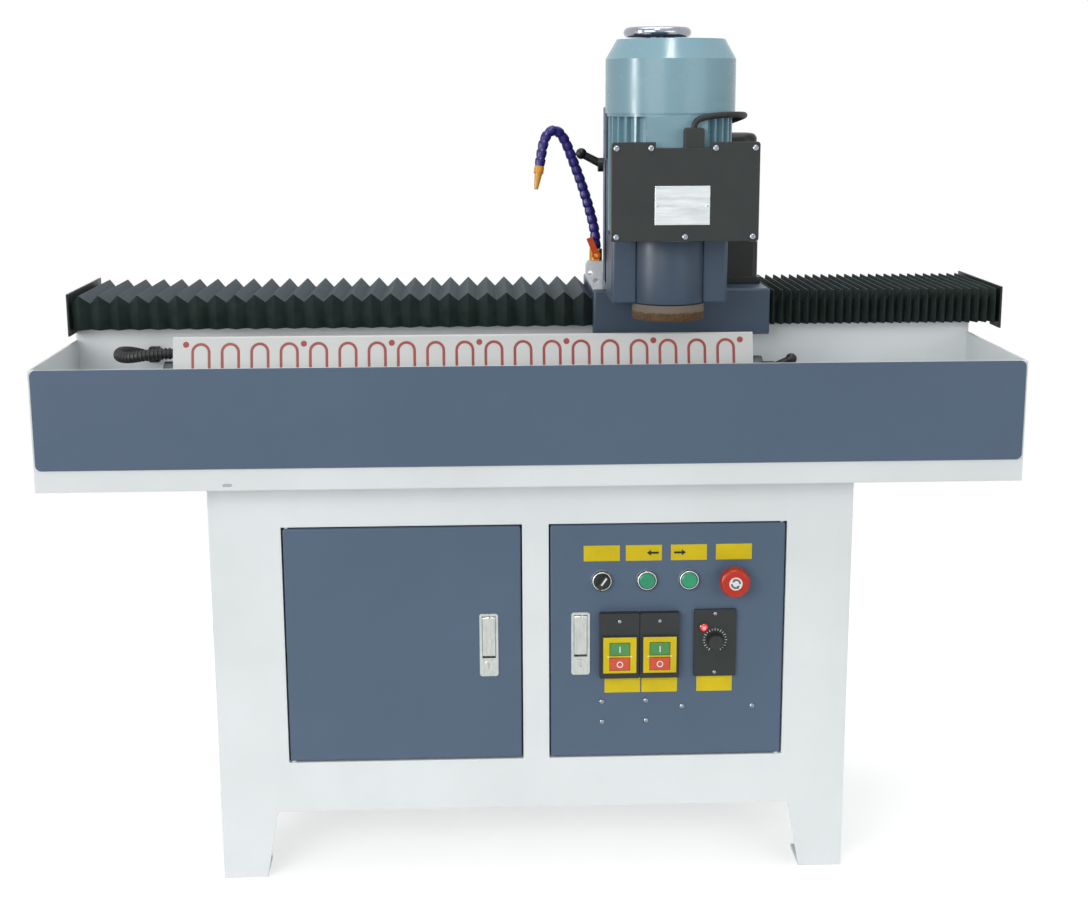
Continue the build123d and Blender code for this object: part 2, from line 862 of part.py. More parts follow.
# Four rail carriages under the saddle
block_gap = 4.0
rail_grip = rail_height + clearance
with BuildPart() as rail_blocks:
    for y in (front_rail_y, rear_rail_y):
        for x in (saddle_mid - block_spread / 2, saddle_mid + block_spread / 2):
            block(
                x - block_length / 2,
                x + block_length / 2,
                y - block_width / 2,
                y + block_width / 2,
                bed_top + block_gap,
                saddle_under,
            )
            block(
                x - block_length / 2,
                x + block_length / 2,
                y - rail_width / 2 - clearance,
                y + rail_width / 2 + clearance,
                bed_top + block_gap,
                bed_top + rail_grip,
                Mode.SUBTRACT,
            )
rail_blocks.part.label = "rail_blocks"
export_step(rail_blocks.part, "parts/rail_blocks.step")

# Column: hollow post with a dovetail way, a slot for the feed nut and a cap with the screw's bearing
cap_boss = 18.0
cap_boss_height = 8.0
cap_round = 10.0
cap_top = column_top + cap_thickness
journal_radius = 6.0
dovetail_root = dovetail_width - 2 * dovetail_depth / tan(radians(dovetail_angle))
nut_slot_room = 6.0
column_round = 8.0
nut_slot_bottom = nut_z - nut_height / 2 - feed_down - nut_slot_room
nut_slot_top = nut_z + nut_height / 2 + feed_up + nut_slot_room
lever_inset = 20.0
lever_height = 177.0
lever_y = column_front + lever_inset
lever_z = saddle_top + lever_height
lever_stud = 5.0
stud_length = 14.0
column_left = head_x - column_width / 2
with BuildPart() as column:
    block(
        head_x - column_width / 2,
        head_x + column_width / 2,
        column_front,
        column_front + column_depth,
        saddle_top,
        column_top,
    )
    fillet(edges().filter_by(Axis.Z), column_round)
    block(
        head_x - column_width / 2 + column_wall,
        head_x + column_width / 2 - column_wall,
        column_front + column_wall,
        column_front + column_depth - column_wall,
        saddle_top,
        column_top,
        Mode.SUBTRACT,
    )
    with BuildSketch(Plane.XY.offset(saddle_top)):
        with BuildLine():
            Polyline(
                (head_x - dovetail_root / 2, column_front),
                (head_x - dovetail_width / 2, column_front - dovetail_depth),
                (head_x + dovetail_width / 2, column_front - dovetail_depth),
                (head_x + dovetail_root / 2, column_front),
                close=True,
            )
        make_face()
    extrude(amount=column_top - saddle_top)
    block(
        head_x - column_slot / 2,
        head_x + column_slot / 2,
        column_front - dovetail_depth,
        column_front + column_wall,
        nut_slot_bottom,
        nut_slot_top,
        Mode.SUBTRACT,
    )
    bar(column_left - stud_length, column_left, lever_y, lever_z, lever_stud)
    with BuildSketch(Plane.XY.offset(column_top)):
        with Locations((head_x, column_front + column_depth / 2)):
            RectangleRounded(column_width - 2 * cap_inset, column_depth - 2 * cap_inset, cap_round)
    extrude(amount=cap_thickness)
    post(head_x, screw_y, cap_top, cap_top + cap_boss_height, cap_boss)
    post(head_x, screw_y, column_top, cap_top + cap_boss_height, journal_radius + running, Mode.SUBTRACT)
column.part.label = "column"
export_step(column.part, "parts/column.step")

# Feed screw: threaded length inside the column, journal through the cap
screw_foot_gap = 12.0
screw_bottom = saddle_top + screw_foot_gap
collar_height = 6.0
collar_reach = 4.0
screw_collar = column_top - collar_height
with BuildPart() as feed_screw:
    post(head_x, screw_y, screw_bottom, screw_collar, screw_radius)
    post(head_x, screw_y, screw_collar, column_top - clearance, screw_radius + collar_reach)
    post(head_x, screw_y, column_top - clearance, handwheel_z + handwheel_rim, journal_radius)
feed_screw.part.label = "feed_screw"
export_step(feed_screw.part, "parts/feed_screw.step")

# Handwheel: turned rim, dished web and hub on the screw's journal
hub_radius = 15.0
web_thickness = 5.0
web_holes = 3
web_hole_radius = 9.0
web_hole_ring = 26.0
cap_play = 0.3
with BuildPart() as handwheel:
    with Locations((head_x, screw_y, handwheel_z)):
        Torus(handwheel_radius - handwheel_rim, handwheel_rim)
    post(
        head_x,
        screw_y,
        handwheel_z - web_thickness / 2,
        handwheel_z + web_thickness / 2,
        handwheel_radius - handwheel_rim,
    )
    with Locations((head_x, screw_y, handwheel_z)):
        with PolarLocations(web_hole_ring, web_holes):
            Cylinder(web_hole_radius, web_thickness, mode=Mode.SUBTRACT)
    post(
        head_x,
        screw_y,
        cap_top + cap_boss_height + cap_play,
        handwheel_z + handwheel_rim,
        hub_radius,
    )
    post(
        head_x,
        screw_y,
        cap_top + cap_boss_height + cap_play,
        handwheel_z + handwheel_rim,
        journal_radius,
        Mode.SUBTRACT,
    )
handwheel.part.label = "handwheel"
export_step(handwheel.part, "parts/handwheel.step")

# Pinion with involute teeth on its upright shaft
base_radius = pitch_radius * cos(radians(pressure_angle))
outer_radius = pitch_radius + addendum
root_radius = pitch_radius - dedendum
flank_steps = 5
pinion_bed_gap = 2.0
pinion_saddle_gap = 6.0
shaft_rise = 40.0
pinion_bottom = bed_top + pinion_bed_gap
pinion_top = saddle_under - pinion_saddle_gap
shaft_top = saddle_top + shaft_rise


def involute(angle):
    """The involute function of a pressure angle in radians."""
    return tan(angle) - angle


def tooth_half_angle(radius):
    """Half the angle that a pinion tooth fills at a radius."""
    at_pitch = pi / (2 * pinion_teeth) - backlash / (4 * pitch_radius)
    here = acos(base_radius / max(radius, base_radius))
    return at_pitch + involute(radians(pressure_angle)) - involute(here)


flank = [root_radius]
for step in range(flank_steps + 1):
    flank.append(base_radius + (outer_radius - base_radius) * step / flank_steps)
pinion_outline = []
for tooth in range(pinion_teeth):
    middle = pi / 2 + (tooth + 0.5) * 2 * pi / pinion_teeth
    for radius in flank:
        turn = middle - tooth_half_angle(radius)
        pinion_outline.append((gear_x + radius * cos(turn), gear_y + radius * sin(turn)))
    for radius in reversed(flank):
        turn = middle + tooth_half_angle(radius)
        pinion_outline.append((gear_x + radius * cos(turn), gear_y + radius * sin(turn)))
with BuildPart() as pinion:
    with BuildSketch(Plane.XY.offset(pinion_bottom)):
        with BuildLine():
            Polyline(*pinion_outline, close=True)
        make_face()
    extrude(amount=pinion_top - pinion_bottom)
    post(gear_x, gear_y, pinion_bottom, shaft_top, pinion_shaft)
pinion.part.label = "pinion"
export_step(pinion.part, "parts/pinion.step")

# Traverse gear motor: gear case with a foot flange, rounded motor above it
motor_side = 77.0
shaft_from_left = 37.0
shaft_from_front = 58.0
gearmotor_height = 220.0
motor_left = gear_x - shaft_from_left
motor_front = gear_y - shaft_from_front
motor_top = saddle_top + gearmotor_height
gearcase_height = 62.0
foot_height = 10.0
foot_reach = 4.0
foot_corner = 6.0
gearcase_corner = 8.0
motor_step = 4.0
motor_corner = 22.0
motor_crown = 9.0
motor_mid = (motor_left + motor_side / 2, motor_front + motor_side / 2)
with BuildPart() as gearmotor:
    with BuildSketch(Plane.XY.offset(saddle_top)):
        with Locations(motor_mid):
            RectangleRounded(motor_side + 2 * foot_reach, motor_side + 2 * foot_reach, foot_corner)
    extrude(amount=foot_height)
    with BuildSketch(Plane.XY.offset(saddle_top + foot_height)):
        with Locations(motor_mid):
            RectangleRounded(motor_side, motor_side, gearcase_corner)
    extrude(amount=gearcase_height - foot_height)
    with BuildSketch(Plane.XY.offset(saddle_top + gearcase_height)):
        with Locations(motor_mid):
            RectangleRounded(motor_side - motor_step, motor_side - motor_step, motor_corner)
    extrude(amount=motor_top - saddle_top - gearcase_height)
    fillet(faces().sort_by(Axis.Z)[-1].edges(), motor_crown)
    post(gear_x, gear_y, saddle_top, shaft_top + clearance, pinion_shaft + running, Mode.SUBTRACT)
gearmotor.part.label = "gearmotor"
export_step(gearmotor.part, "parts/gearmotor.step")

# Head casting: slide with a female dovetail, spindle tube, two side wings, motor flange and gussets
side_play = dovetail_play / sin(radians(dovetail_angle))
slide_edge = 3.0
groove_y = column_front - dovetail_depth - dovetail_play
groove_half = dovetail_root / 2 + (dovetail_depth + dovetail_play) / tan(radians(dovetail_angle)) + side_play
wing_root = 3.0
wing_inner = tube_radius - wing_root
wing_outer = wing_inner + wing_thickness
back_plate = 16.0
seal_lip = 6.0
seal_radius = 20.0
gusset_width = 14.0
gusset_depth = 25.0
gusset_height = 117.0
gusset_top = flange_z + gusset_height
wing_round = 5.0
with BuildPart() as head_casting:
    block(slide_left, slide_left + slide_width, slide_front, slide_rear, slide_bottom, slide_top)
    fillet(edges().filter_by(Axis.Z).group_by(Axis.Y)[0], slide_edge)
    with BuildSketch(Plane.XY.offset(slide_bottom)):
        with BuildLine():
            Polyline(
                (head_x - dovetail_root / 2 - side_play, column_front),
                (head_x - groove_half, groove_y),
                (head_x + groove_half, groove_y),
                (head_x + dovetail_root / 2 + side_play, column_front),
                close=True,
            )
        make_face()
    extrude(amount=slide_top - slide_bottom, mode=Mode.SUBTRACT)
    post(head_x, head_y, tube_bottom, motor_bottom, tube_radius)
    for side in (-1, 1):
        inner = head_x + side * wing_inner
        outer = head_x + side * wing_outer
        block(min(inner, outer), max(inner, outer), wing_front, slide_front, tube_bottom, motor_bottom)
    for outermost in (0, -1):
        upright_edges = edges().filter_by(Axis.Z)
        wing_edges = upright_edges.filter_by_position(Axis.Y, wing_front - running, wing_front + running)
        fillet(wing_edges.group_by(Axis.X)[outermost], wing_round)
    for side in (-1, 1):
        gusset = head_x + side * (wing_outer - gusset_width)
        edge = head_x + side * wing_outer
        gusset_front = slide_front - gusset_depth
        block(min(gusset, edge), max(gusset, edge), gusset_front, slide_front, flange_z, gusset_top)
    block(
        head_x - wing_outer,
        head_x + wing_outer,
        slide_front - back_plate,
        slide_front,
        tube_bottom,
        flange_z,
    )
    block(
        head_x - wing_outer,
        head_x + wing_outer,
        head_y,
        slide_front,
        flange_z,
        motor_bottom,
    )
    post(head_x, head_y, tube_bottom + seal_lip, motor_bottom, bearing_radius, Mode.SUBTRACT)
    post(head_x, head_y, tube_bottom, tube_bottom + seal_lip, seal_radius, Mode.SUBTRACT)
head_casting.part.label = "head_casting"
export_step(head_casting.part, "parts/head_casting.step")

# Feed nut: bronze block on the slide that reaches through the column's slot to the screw
nut_side_gap = 2.0
nut_width = column_slot - 2 * nut_side_gap
nut_wall = 8.0
with BuildPart() as feed_nut:
    block(
        head_x - nut_width / 2,
        head_x + nut_width / 2,
        groove_y,
        screw_y + screw_radius + nut_wall,
        nut_z - nut_height / 2,
        nut_z + nut_height / 2,
    )
    nut_bore = screw_radius + running
    post(head_x, screw_y, nut_z - nut_height / 2, nut_z + nut_height / 2, nut_bore, Mode.SUBTRACT)
feed_nut.part.label = "feed_nut"
export_step(feed_nut.part, "parts/feed_nut.step")

# Two spindle bearings in the tube
lower_bearing = tube_bottom + seal_lip
upper_bearing = flange_z - bearing_width
with BuildPart() as spindle_bearings:
    for z in (lower_bearing, upper_bearing):
        post(head_x, head_y, z, z + bearing_width, bearing_radius)
        post(head_x, head_y, z, z + bearing_width, spindle_radius + running, Mode.SUBTRACT)
spindle_bearings.part.label = "spindle_bearings"
export_step(spindle_bearings.part, "parts/spindle_bearings.step")

# Motor frame: finned shell with a flat pad in front and a bore for the rotor
rotor_gap = 1.0
shield = 18.0
rotor_end_gap = 4.0
rotor_bottom = motor_bottom + shield + rotor_end_gap
rotor_top = frame_top - shield - rotor_end_gap
rear_journal = 9.0
pad_half = 40.0
fin_root = 2.0
pad_proud = 2.0
rim_height = 12.0
cowl_play = 0.2
fin_rise = 10.0
pad_front = head_y - frame_radius - fin_height - pad_proud
cowl_seat = cowl_radius - cowl_wall - cowl_play
fin_bottom = motor_bottom + fin_rise
pad_turn = degrees(atan2(pad_half, frame_radius))
with BuildPart() as motor_frame:
    post(head_x, head_y, motor_bottom, frame_top, frame_radius)
    post(head_x, head_y, frame_top - rim_height, frame_top, cowl_seat)
    for fin in range(fin_count):
        turn = 360.0 * (fin + 0.5) / fin_count
        if abs(turn - 270.0) < pad_turn:
            continue
        with BuildSketch(Plane.XY.offset(fin_bottom)):
            with Locations(Location((head_x, head_y, 0), (0, 0, turn))):
                with Locations((frame_radius + (fin_height - fin_root) / 2, 0)):
                    Rectangle(fin_height + fin_root, fin_thickness)
        extrude(amount=frame_top - rim_height - fin_bottom)
    block(head_x - pad_half, head_x + pad_half, pad_front, head_y, box_bottom, frame_top - rim_height)
    post(head_x, head_y, motor_bottom + shield, frame_top - shield, rotor_radius + rotor_gap, Mode.SUBTRACT)
    post(head_x, head_y, motor_bottom, motor_bottom + shield, spindle_radius + running, Mode.SUBTRACT)
    post(head_x, head_y, frame_top - shield, frame_top, rear_journal + running, Mode.SUBTRACT)
motor_frame.part.label = "motor_frame"
export_step(motor_frame.part, "parts/motor_frame.step")

# Fan cowl: spun cap with a conical shoulder and a ring of air slots
slot_count = 20
slot_length = 34.0
slot_width = 5.0
slot_ring = 46.0
cowl_shoulder = cowl_top - cowl_cone_height
with BuildPart() as fan_cowl:
    with BuildSketch(Plane.XZ.offset(-head_y)):
        with BuildLine():
            Polyline(
                (head_x + cowl_radius, frame_top - cowl_skirt),
                (head_x + cowl_radius, cowl_shoulder),
                (head_x + cowl_top_radius, cowl_top),
                (head_x, cowl_top),
                (head_x, cowl_top - cowl_wall),
                (head_x + cowl_top_radius - cowl_wall, cowl_top - cowl_wall),
                (head_x + cowl_radius - cowl_wall, cowl_shoulder - cowl_wall),
                (head_x + cowl_radius - cowl_wall, frame_top - cowl_skirt),
                close=True,
            )
        make_face()
    revolve(axis=Axis((head_x, head_y, 0), (0, 0, 1)))
    with BuildSketch(Plane.XY.offset(cowl_top - cowl_wall)):
        with Locations((head_x, head_y)):
            with PolarLocations(slot_ring, slot_count):
                SlotOverall(slot_length, slot_width)
    extrude(amount=cowl_wall, mode=Mode.SUBTRACT)
fan_cowl.part.label = "fan_cowl"
export_step(fan_cowl.part, "parts/fan_cowl.step")

# Spindle: one shaft from the wheel's nose to the fan, with the rotor on it
nose_radius = 10.0
wheel_top = wheel_bottom + abrasive_height + wheel_back
nut_radius = 16.0
nut_thickness = 8.0
fan_rise = 14.0
fan_height = 34.0
nose_rise = 4.0
fan_seat = frame_top + fan_rise
nose_bottom = wheel_bottom + nose_rise
with BuildPart() as spindle_shaft:
    post(head_x, head_y, nose_bottom, wheel_top, nose_radius)
    post(head_x, head_y, wheel_top, rotor_bottom, spindle_radius)
    post(head_x, head_y, rotor_bottom, rotor_top, rotor_radius)
    post(head_x, head_y, rotor_top, fan_seat + fan_height, rear_journal)
    with BuildSketch(Plane.XY.offset(wheel_top - wheel_back - nut_thickness)):
        with Locations((head_x, head_y)):
            RegularPolygon(nut_radius, 6)
    extrude(amount=nut_thickness)
spindle_shaft.part.label = "spindle_shaft"
export_step(spindle_shaft.part, "parts/spindle_shaft.step")

# Cooling fan on the shaft's upper end
fan_hub = 18.0
blade_count = 8
blade_thickness = 3.0
blade_root = 2.0
with BuildPart() as fan:
    post(head_x, head_y, fan_seat, fan_seat + fan_height, fan_hub)
    post(head_x, head_y, fan_seat, fan_seat + blade_thickness, fan_radius)
    for blade in range(blade_count):
        with BuildSketch(Plane.XY.offset(fan_seat)):
            with Locations(Location((head_x, head_y, 0), (0, 0, 360.0 * blade / blade_count))):
                with Locations(((fan_hub + fan_radius - blade_root) / 2, 0)):
                    Rectangle(fan_radius - fan_hub + blade_root, blade_thickness)
        extrude(amount=fan_height)
    post(head_x, head_y, fan_seat, fan_seat + fan_height, rear_journal, Mode.SUBTRACT)
fan.part.label = "fan"
export_step(fan.part, "parts/fan.step")

# Grinding wheel: abrasive ring with a flat back, open below
with BuildPart() as grinding_wheel:
    post(head_x, head_y, wheel_bottom, wheel_top, wheel_radius)
    post(head_x, head_y, wheel_top - wheel_back, wheel_top, nose_radius, Mode.SUBTRACT)
    post(
        head_x,
        head_y,
        wheel_bottom,
        wheel_bottom + abrasive_height,
        wheel_radius - abrasive_width,
        Mode.SUBTRACT,
    )
grinding_wheel.part.label = "grinding_wheel"
export_step(grinding_wheel.part, "parts/grinding_wheel.step")

# Terminal box on the motor's pad, with a raised cable entry
box_right = box_left + box_width
box_top = box_bottom + box_height
box_body_top = box_top - cover_notch_depth
box_body_front = box_front + cover_thickness
entry_offset = 8.0
entry_left = head_x + entry_offset
entry_right = entry_left + entry_width
entry_x = entry_left + entry_width / 2
entry_y = (box_body_front + pad_front) / 2
entry_top = box_top + entry_height
box_corner = 4.0
with BuildPart() as terminal_box:
    block(box_left, box_right, box_body_front, pad_front, box_bottom, box_body_top)
    block(
        box_left + box_wall,
        box_right - box_wall,
        box_body_front,
        pad_front - box_wall,
        box_bottom + box_wall,
        box_body_top - box_wall,
        Mode.SUBTRACT,
    )
    block(entry_left, entry_right, box_body_front, pad_front, box_body_top, entry_top)
    fillet(edges().filter_by(Axis.Y).group_by(Axis.Z)[-1], box_corner)
terminal_box.part.label = "terminal_box"
export_step(terminal_box.part, "parts/terminal_box.step")

# Terminal box cover with a shallow notch in its top edge and tabs on its lower edge
tab_radius = 8.0
tab_drop = 2.0
notch_offset = 30.0
notch_left = head_x - notch_offset
with BuildPart() as terminal_cover:
    with BuildSketch(Plane.XZ.offset(-box_body_front)):
        with Locations(((box_left + box_right) / 2, (box_bottom + box_top) / 2)):
            Rectangle(box_width, box_height)
        fillet(vertices(), box_corner)
        with Locations((notch_left + cover_notch_width / 2, box_top - cover_notch_depth / 2)):
            Rectangle(cover_notch_width, cover_notch_depth, mode=Mode.SUBTRACT)
        for x in ((box_left + box_right) / 2, box_right - tab_radius):
            with Locations((x, box_bottom + tab_radius - tab_drop)):
                Circle(tab_radius)
    extrude(amount=cover_thickness)
terminal_cover.part.label = "terminal_cover"
export_step(terminal_cover.part, "parts/terminal_cover.step")

# Motor cable from the box's entry round the motor's right side to the slide plate
cable_route = (
    (entry_x, entry_y, entry_top),
    (entry_x, entry_y, entry_top + 9.0),
    (entry_x + 20.0, head_y - 92.0, entry_top + 15.0),
    (entry_x + 50.0, head_y - 83.0, entry_top + 16.5),
    (entry_x + 72.0, head_y - 56.0, entry_top + 16.0),
    (entry_x + 78.0, head_y - 18.0, entry_top + 14.0),
    (entry_x + 75.0, head_y + 16.0, entry_top + 10.0),
    (entry_x + 66.0, head_y + 48.0, entry_top + 5.0),
    (entry_x + 55.0, head_y + 68.0, entry_top + 1.0),
    (entry_x + 55.0, slide_front, entry_top + 1.0),
)
with BuildLine() as cable_line:
    FilletPolyline(*cable_route, radius=bend_radii(cable_route))
cable_path = cable_line.wire()
cable_end = Plane(origin=cable_path @ 0, z_dir=cable_path % 0)
with BuildPart() as motor_cable:
    with BuildSketch(cable_end):
        Circle(cable_radius)
    sweep(path=cable_path)
motor_cable.part.label = "motor_cable"
export_step(motor_cable.part, "parts/motor_cable.step")


def lever_plane(start, end):
    """An upright plane along a lever's arm, its X axis from hub to ball, and the arm's length."""
    way = Vector(*end) - Vector(*start)
    return Plane(origin=start, x_dir=way, z_dir=(0, -1, 0)), way.length


# Column clamp lever: hub on the stud, tapered arm and ball
lever_hub = 10.0
lever_ball = 8.0
lever_arm = 6.0
lever_neck = 5.5
lever_rise = 16.0
lever_reach = 42.0
arm_inset = 3.0
hub_end = 4.0
arm_start = (column_left - stud_length + arm_inset, lever_y, lever_z)
arm_end = (column_left - lever_reach, lever_y, lever_z + lever_rise)
arm_plane, arm_length = lever_plane(arm_start, arm_end)
neck_inset = (lever_ball**2 - lever_neck**2) ** 0.5
with BuildPart() as clamp_lever:
    bar(column_left - stud_length - hub_end, column_left - clearance, lever_y, lever_z, lever_hub)
    with BuildSketch(arm_plane):
        with BuildLine():
            Polyline(
                (arm_length + lever_ball, 0),
                (0, 0),
                (0, lever_arm),
                (arm_length - neck_inset, lever_neck),
            )
            ThreePointArc(
                (arm_length - neck_inset, lever_neck),
                (arm_length, lever_ball),
                (arm_length + lever_ball, 0),
            )
        make_face()
    revolve(axis=Axis(arm_start, arm_plane.x_dir))
    lever_bore = lever_stud + running
    bar(column_left - stud_length, column_left - clearance, lever_y, lever_z, lever_bore, Mode.SUBTRACT)
clamp_lever.part.label = "clamp_lever"
export_step(clamp_lever.part, "parts/clamp_lever.step")

# Coolant bracket on the saddle's left shoulder: bent plate with two holes
hose_inset = 3.5
hose_setback = 6.0
bracket_overhang = 11.5
bracket_width = 25.0
bracket_height = 42.0
hose_x = saddle_left + hose_inset
hose_y = apron_front + hose_setback
bracket_left = saddle_left - bracket_overhang
bracket_right = bracket_left + bracket_width
bracket_top = saddle_top + bracket_height
bracket_plate = 6.0
bracket_foot_depth = 30.0
bracket_hole = 3.5
bracket_corner = 6.0
bracket_slant = 20.0
lower_hole_rise = 13.0
upper_hole_rise = 24.0
hole_inset = 7.0
lower_hole = (saddle_left + hose_inset, saddle_top + lower_hole_rise)
upper_hole = (bracket_left + hole_inset, saddle_top + upper_hole_rise)
bracket_front = hose_y - bracket_plate / 2
with BuildPart() as coolant_bracket:
    with BuildSketch(Plane.XZ.offset(-bracket_front - bracket_plate)):
        with BuildLine():
            Polyline(
                (saddle_left, saddle_top),
                (bracket_right, saddle_top),
                (bracket_right, bracket_top),
                (bracket_left + bracket_corner / 2, bracket_top),
                (bracket_left, bracket_top - bracket_corner),
                (bracket_left, saddle_top + bracket_slant),
                close=True,
            )
        make_face()
        with Locations(lower_hole, upper_hole):
            Circle(bracket_hole, mode=Mode.SUBTRACT)
    extrude(amount=bracket_plate)
    block(
        saddle_left + saddle_corner,
        bracket_right,
        bracket_front,
        bracket_front + bracket_foot_depth,
        saddle_top,
        saddle_top + bracket_plate,
    )
coolant_bracket.part.label = "coolant_bracket"
export_step(coolant_bracket.part, "parts/coolant_bracket.step")

# Coolant cock: body on the bracket, stud for its handle, spigot for the hose
cock_half = 8.0
cock_height = 17.0
cock_top = bracket_top + cock_height
cock_stud = 3.0
cock_stud_length = 8.0
cock_z = bracket_top + cock_height / 2
hose_bore = 3.0
spigot_length = 8.0
cock_front = hose_y - cock_half
with BuildPart() as coolant_cock:
    with BuildSketch(Plane.XY.offset(bracket_top)):
        with Locations((hose_x, hose_y)):
            RegularPolygon(cock_half, 6, major_radius=False)
    extrude(amount=cock_top - bracket_top)
    rod(hose_x, cock_front - cock_stud_length, hose_y, cock_z, cock_stud)
    post(hose_x, hose_y, cock_top, cock_top + spigot_length, hose_bore - running)
coolant_cock.part.label = "coolant_cock"
export_step(coolant_cock.part, "parts/coolant_cock.step")

# Cock handle: hub on the stud and a flat lever
handle_hub = 6.0
handle_length = 27.0
handle_width = 9.0
handle_plate = 4.0
handle_end = 3.0
handle_lean = -22.0
handle_front = cock_front - cock_stud_length
handle_rear = cock_front - clearance
with BuildPart() as cock_handle:
    rod(hose_x, handle_front, handle_rear, cock_z, handle_hub)
    with Locations(Location((hose_x, (handle_front + handle_rear) / 2, cock_z), (0, handle_lean, 0))):
        with Locations((0, 0, handle_length / 2)):
            Box(handle_width, handle_plate, handle_length)
    fillet(edges().filter_by(Axis.Y).group_by(Axis.Z)[-1], handle_end)
    rod(hose_x, handle_front, handle_rear, cock_z, cock_stud + running, Mode.SUBTRACT)
cock_handle.part.label = "cock_handle"
export_step(cock_handle.part, "parts/cock_handle.step")

# Jointed coolant hose: a chain of short sockets that arches over and hangs towards the wheel
hose_crest = 7.5
hose_root = 5.6
hose_link = 12.0
hose_upright = 20.0
hose_start = cock_top + clearance
hose_route = (
    (hose_x, hose_y, hose_start),
    (hose_x, hose_y, hose_start + hose_upright),
    (hose_x - 9.0, hose_y, cock_top + 56.0),
    (hose_x - 21.0, hose_y, cock_top + 94.0),
    (hose_x - 34.0, hose_y - 1.0, cock_top + 128.0),
    (hose_x - 43.0, hose_y - 3.0, cock_top + 151.0),
    (hose_x - 51.0, hose_y - 6.0, cock_top + 164.0),
    (hose_x - 60.0, hose_y - 10.0, cock_top + 169.0),
    (hose_x - 69.0, hose_y - 14.0, cock_top + 165.0),
    (hose_x - 75.0, hose_y - 18.0, cock_top + 154.0),
    (hose_x - 79.0, hose_y - 23.0, cock_top + 136.0),
    (hose_x - 82.0, hose_y - 28.0, cock_top + 118.0),
)
with BuildLine() as hose_line:
    FilletPolyline(*hose_route, radius=bend_radii(hose_route))
hose_path = hose_line.wire()
backward = Vector(0, 1, 0)
hose_skin = ribbed_sections(hose_path, hose_link, hose_crest, hose_root, backward)
hose_hole = bore_sections(hose_path, hose_link / 2, hose_bore, backward)
with BuildPart() as coolant_hose:
    loft(hose_skin, ruled=True)
    loft(hose_hole, ruled=True, mode=Mode.SUBTRACT)
coolant_hose.part.label = "coolant_hose"
export_step(coolant_hose.part, "parts/coolant_hose.step")

# Nozzle on the hose's end
nozzle_length = 32.0
nozzle_tip = 2.8
nozzle_collar = 7.0
collar_length = 9.0
nozzle_bore = 1.6
hose_end = Plane(origin=hose_path @ 1, z_dir=hose_path % 1)
nozzle_mouth = hose_end.offset(nozzle_length)
with BuildPart() as hose_nozzle:
    with BuildSketch(hose_end):
        Circle(nozzle_collar)
    extrude(amount=collar_length)
    with BuildSketch(hose_end.offset(collar_length)):
        Circle(hose_root)
    with BuildSketch(nozzle_mouth):
        Circle(nozzle_tip)
    loft()
    with BuildSketch(hose_end):
        Circle(nozzle_bore)
    extrude(amount=nozzle_length, mode=Mode.SUBTRACT)
hose_nozzle.part.label = "hose_nozzle"
export_step(hose_nozzle.part, "parts/hose_nozzle.step")

# Pole lines cast into the chuck's face: a meander of arches joined at their feet
lean_cos = cos(radians(chuck_tilt))
lean_sin = sin(radians(chuck_tilt))
chuck_face = Plane(
    origin=(
        (chuck_left + chuck_right) / 2,
        chuck_axis_y - chuck_thickness / 2 * lean_cos,
        chuck_axis_z + chuck_thickness / 2 * lean_sin,
    ),
    x_dir=(1, 0, 0),
    z_dir=(0, -lean_cos, lean_sin),
)
arch_outer = pole_loop_width / 2
arch_inner = arch_outer - pole_line
foot_outer = pole_pitch / 2 - arch_inner
foot_inner = foot_outer - pole_line
arch_y = pole_top - arch_outer
foot_y = pole_bottom + foot_outer
leg_spread = arch_outer - pole_line / 2
with BuildPart() as chuck_poles:
    with BuildSketch(chuck_face):
        with Locations((0, arch_y)):
            with GridLocations(pole_pitch, 1, pole_loops, 1):
                Circle(arch_outer)
            with GridLocations(pole_pitch, 1, pole_loops, 1):
                Circle(arch_inner, mode=Mode.SUBTRACT)
        with Locations((0, arch_y - arch_outer)):
            Rectangle(chuck_length, pole_loop_width, mode=Mode.SUBTRACT)
    extrude(amount=-pole_depth)
    with BuildSketch(chuck_face):
        with Locations((0, foot_y)):
            with GridLocations(pole_pitch, 1, pole_loops - 1, 1):
                Circle(foot_outer)
            with GridLocations(pole_pitch, 1, pole_loops - 1, 1):
                Circle(foot_inner, mode=Mode.SUBTRACT)
        with Locations((0, foot_y + foot_outer)):
            Rectangle(chuck_length, 2 * foot_outer, mode=Mode.SUBTRACT)
    extrude(amount=-pole_depth)
    with BuildSketch(chuck_face):
        for side in (-leg_spread, leg_spread):
            with Locations((side, (arch_y + foot_y) / 2)):
                with GridLocations(pole_pitch, 1, pole_loops, 1):
                    Rectangle(pole_line, arch_y - foot_y)
    extrude(amount=-pole_depth)
chuck_poles.part.label = "chuck_poles"
export_step(chuck_poles.part, "parts/chuck_poles.step")

# Magnetic chuck: long block whose face leans back, on two trunnions
chuck_section = Plane(
    origin=(chuck_left, chuck_axis_y, chuck_axis_z),
    x_dir=(0, lean_cos, -lean_sin),
    z_dir=(1, 0, 0),
)
stub_radius = 8.0
stub_length = 16.0
trunnion_length = bracket_gap + bracket_thickness
with BuildPart() as chuck_body:
    with BuildSketch(chuck_section):
        Rectangle(chuck_thickness, chuck_face_height)
        chamfer(vertices(), chuck_edge)
    extrude(amount=chuck_length)
    add(chuck_poles.part, mode=Mode.SUBTRACT)
    bar(chuck_left - trunnion_length, chuck_left, chuck_axis_y, chuck_axis_z, trunnion_radius)
    bar(chuck_right, chuck_right + trunnion_length, chuck_axis_y, chuck_axis_z, trunnion_radius)
    bar(chuck_right, chuck_right + trunnion_length + stub_length, chuck_axis_y, chuck_axis_z, stub_radius)
chuck_body.part.label = "chuck_body"
export_step(chuck_body.part, "parts/chuck_body.step")

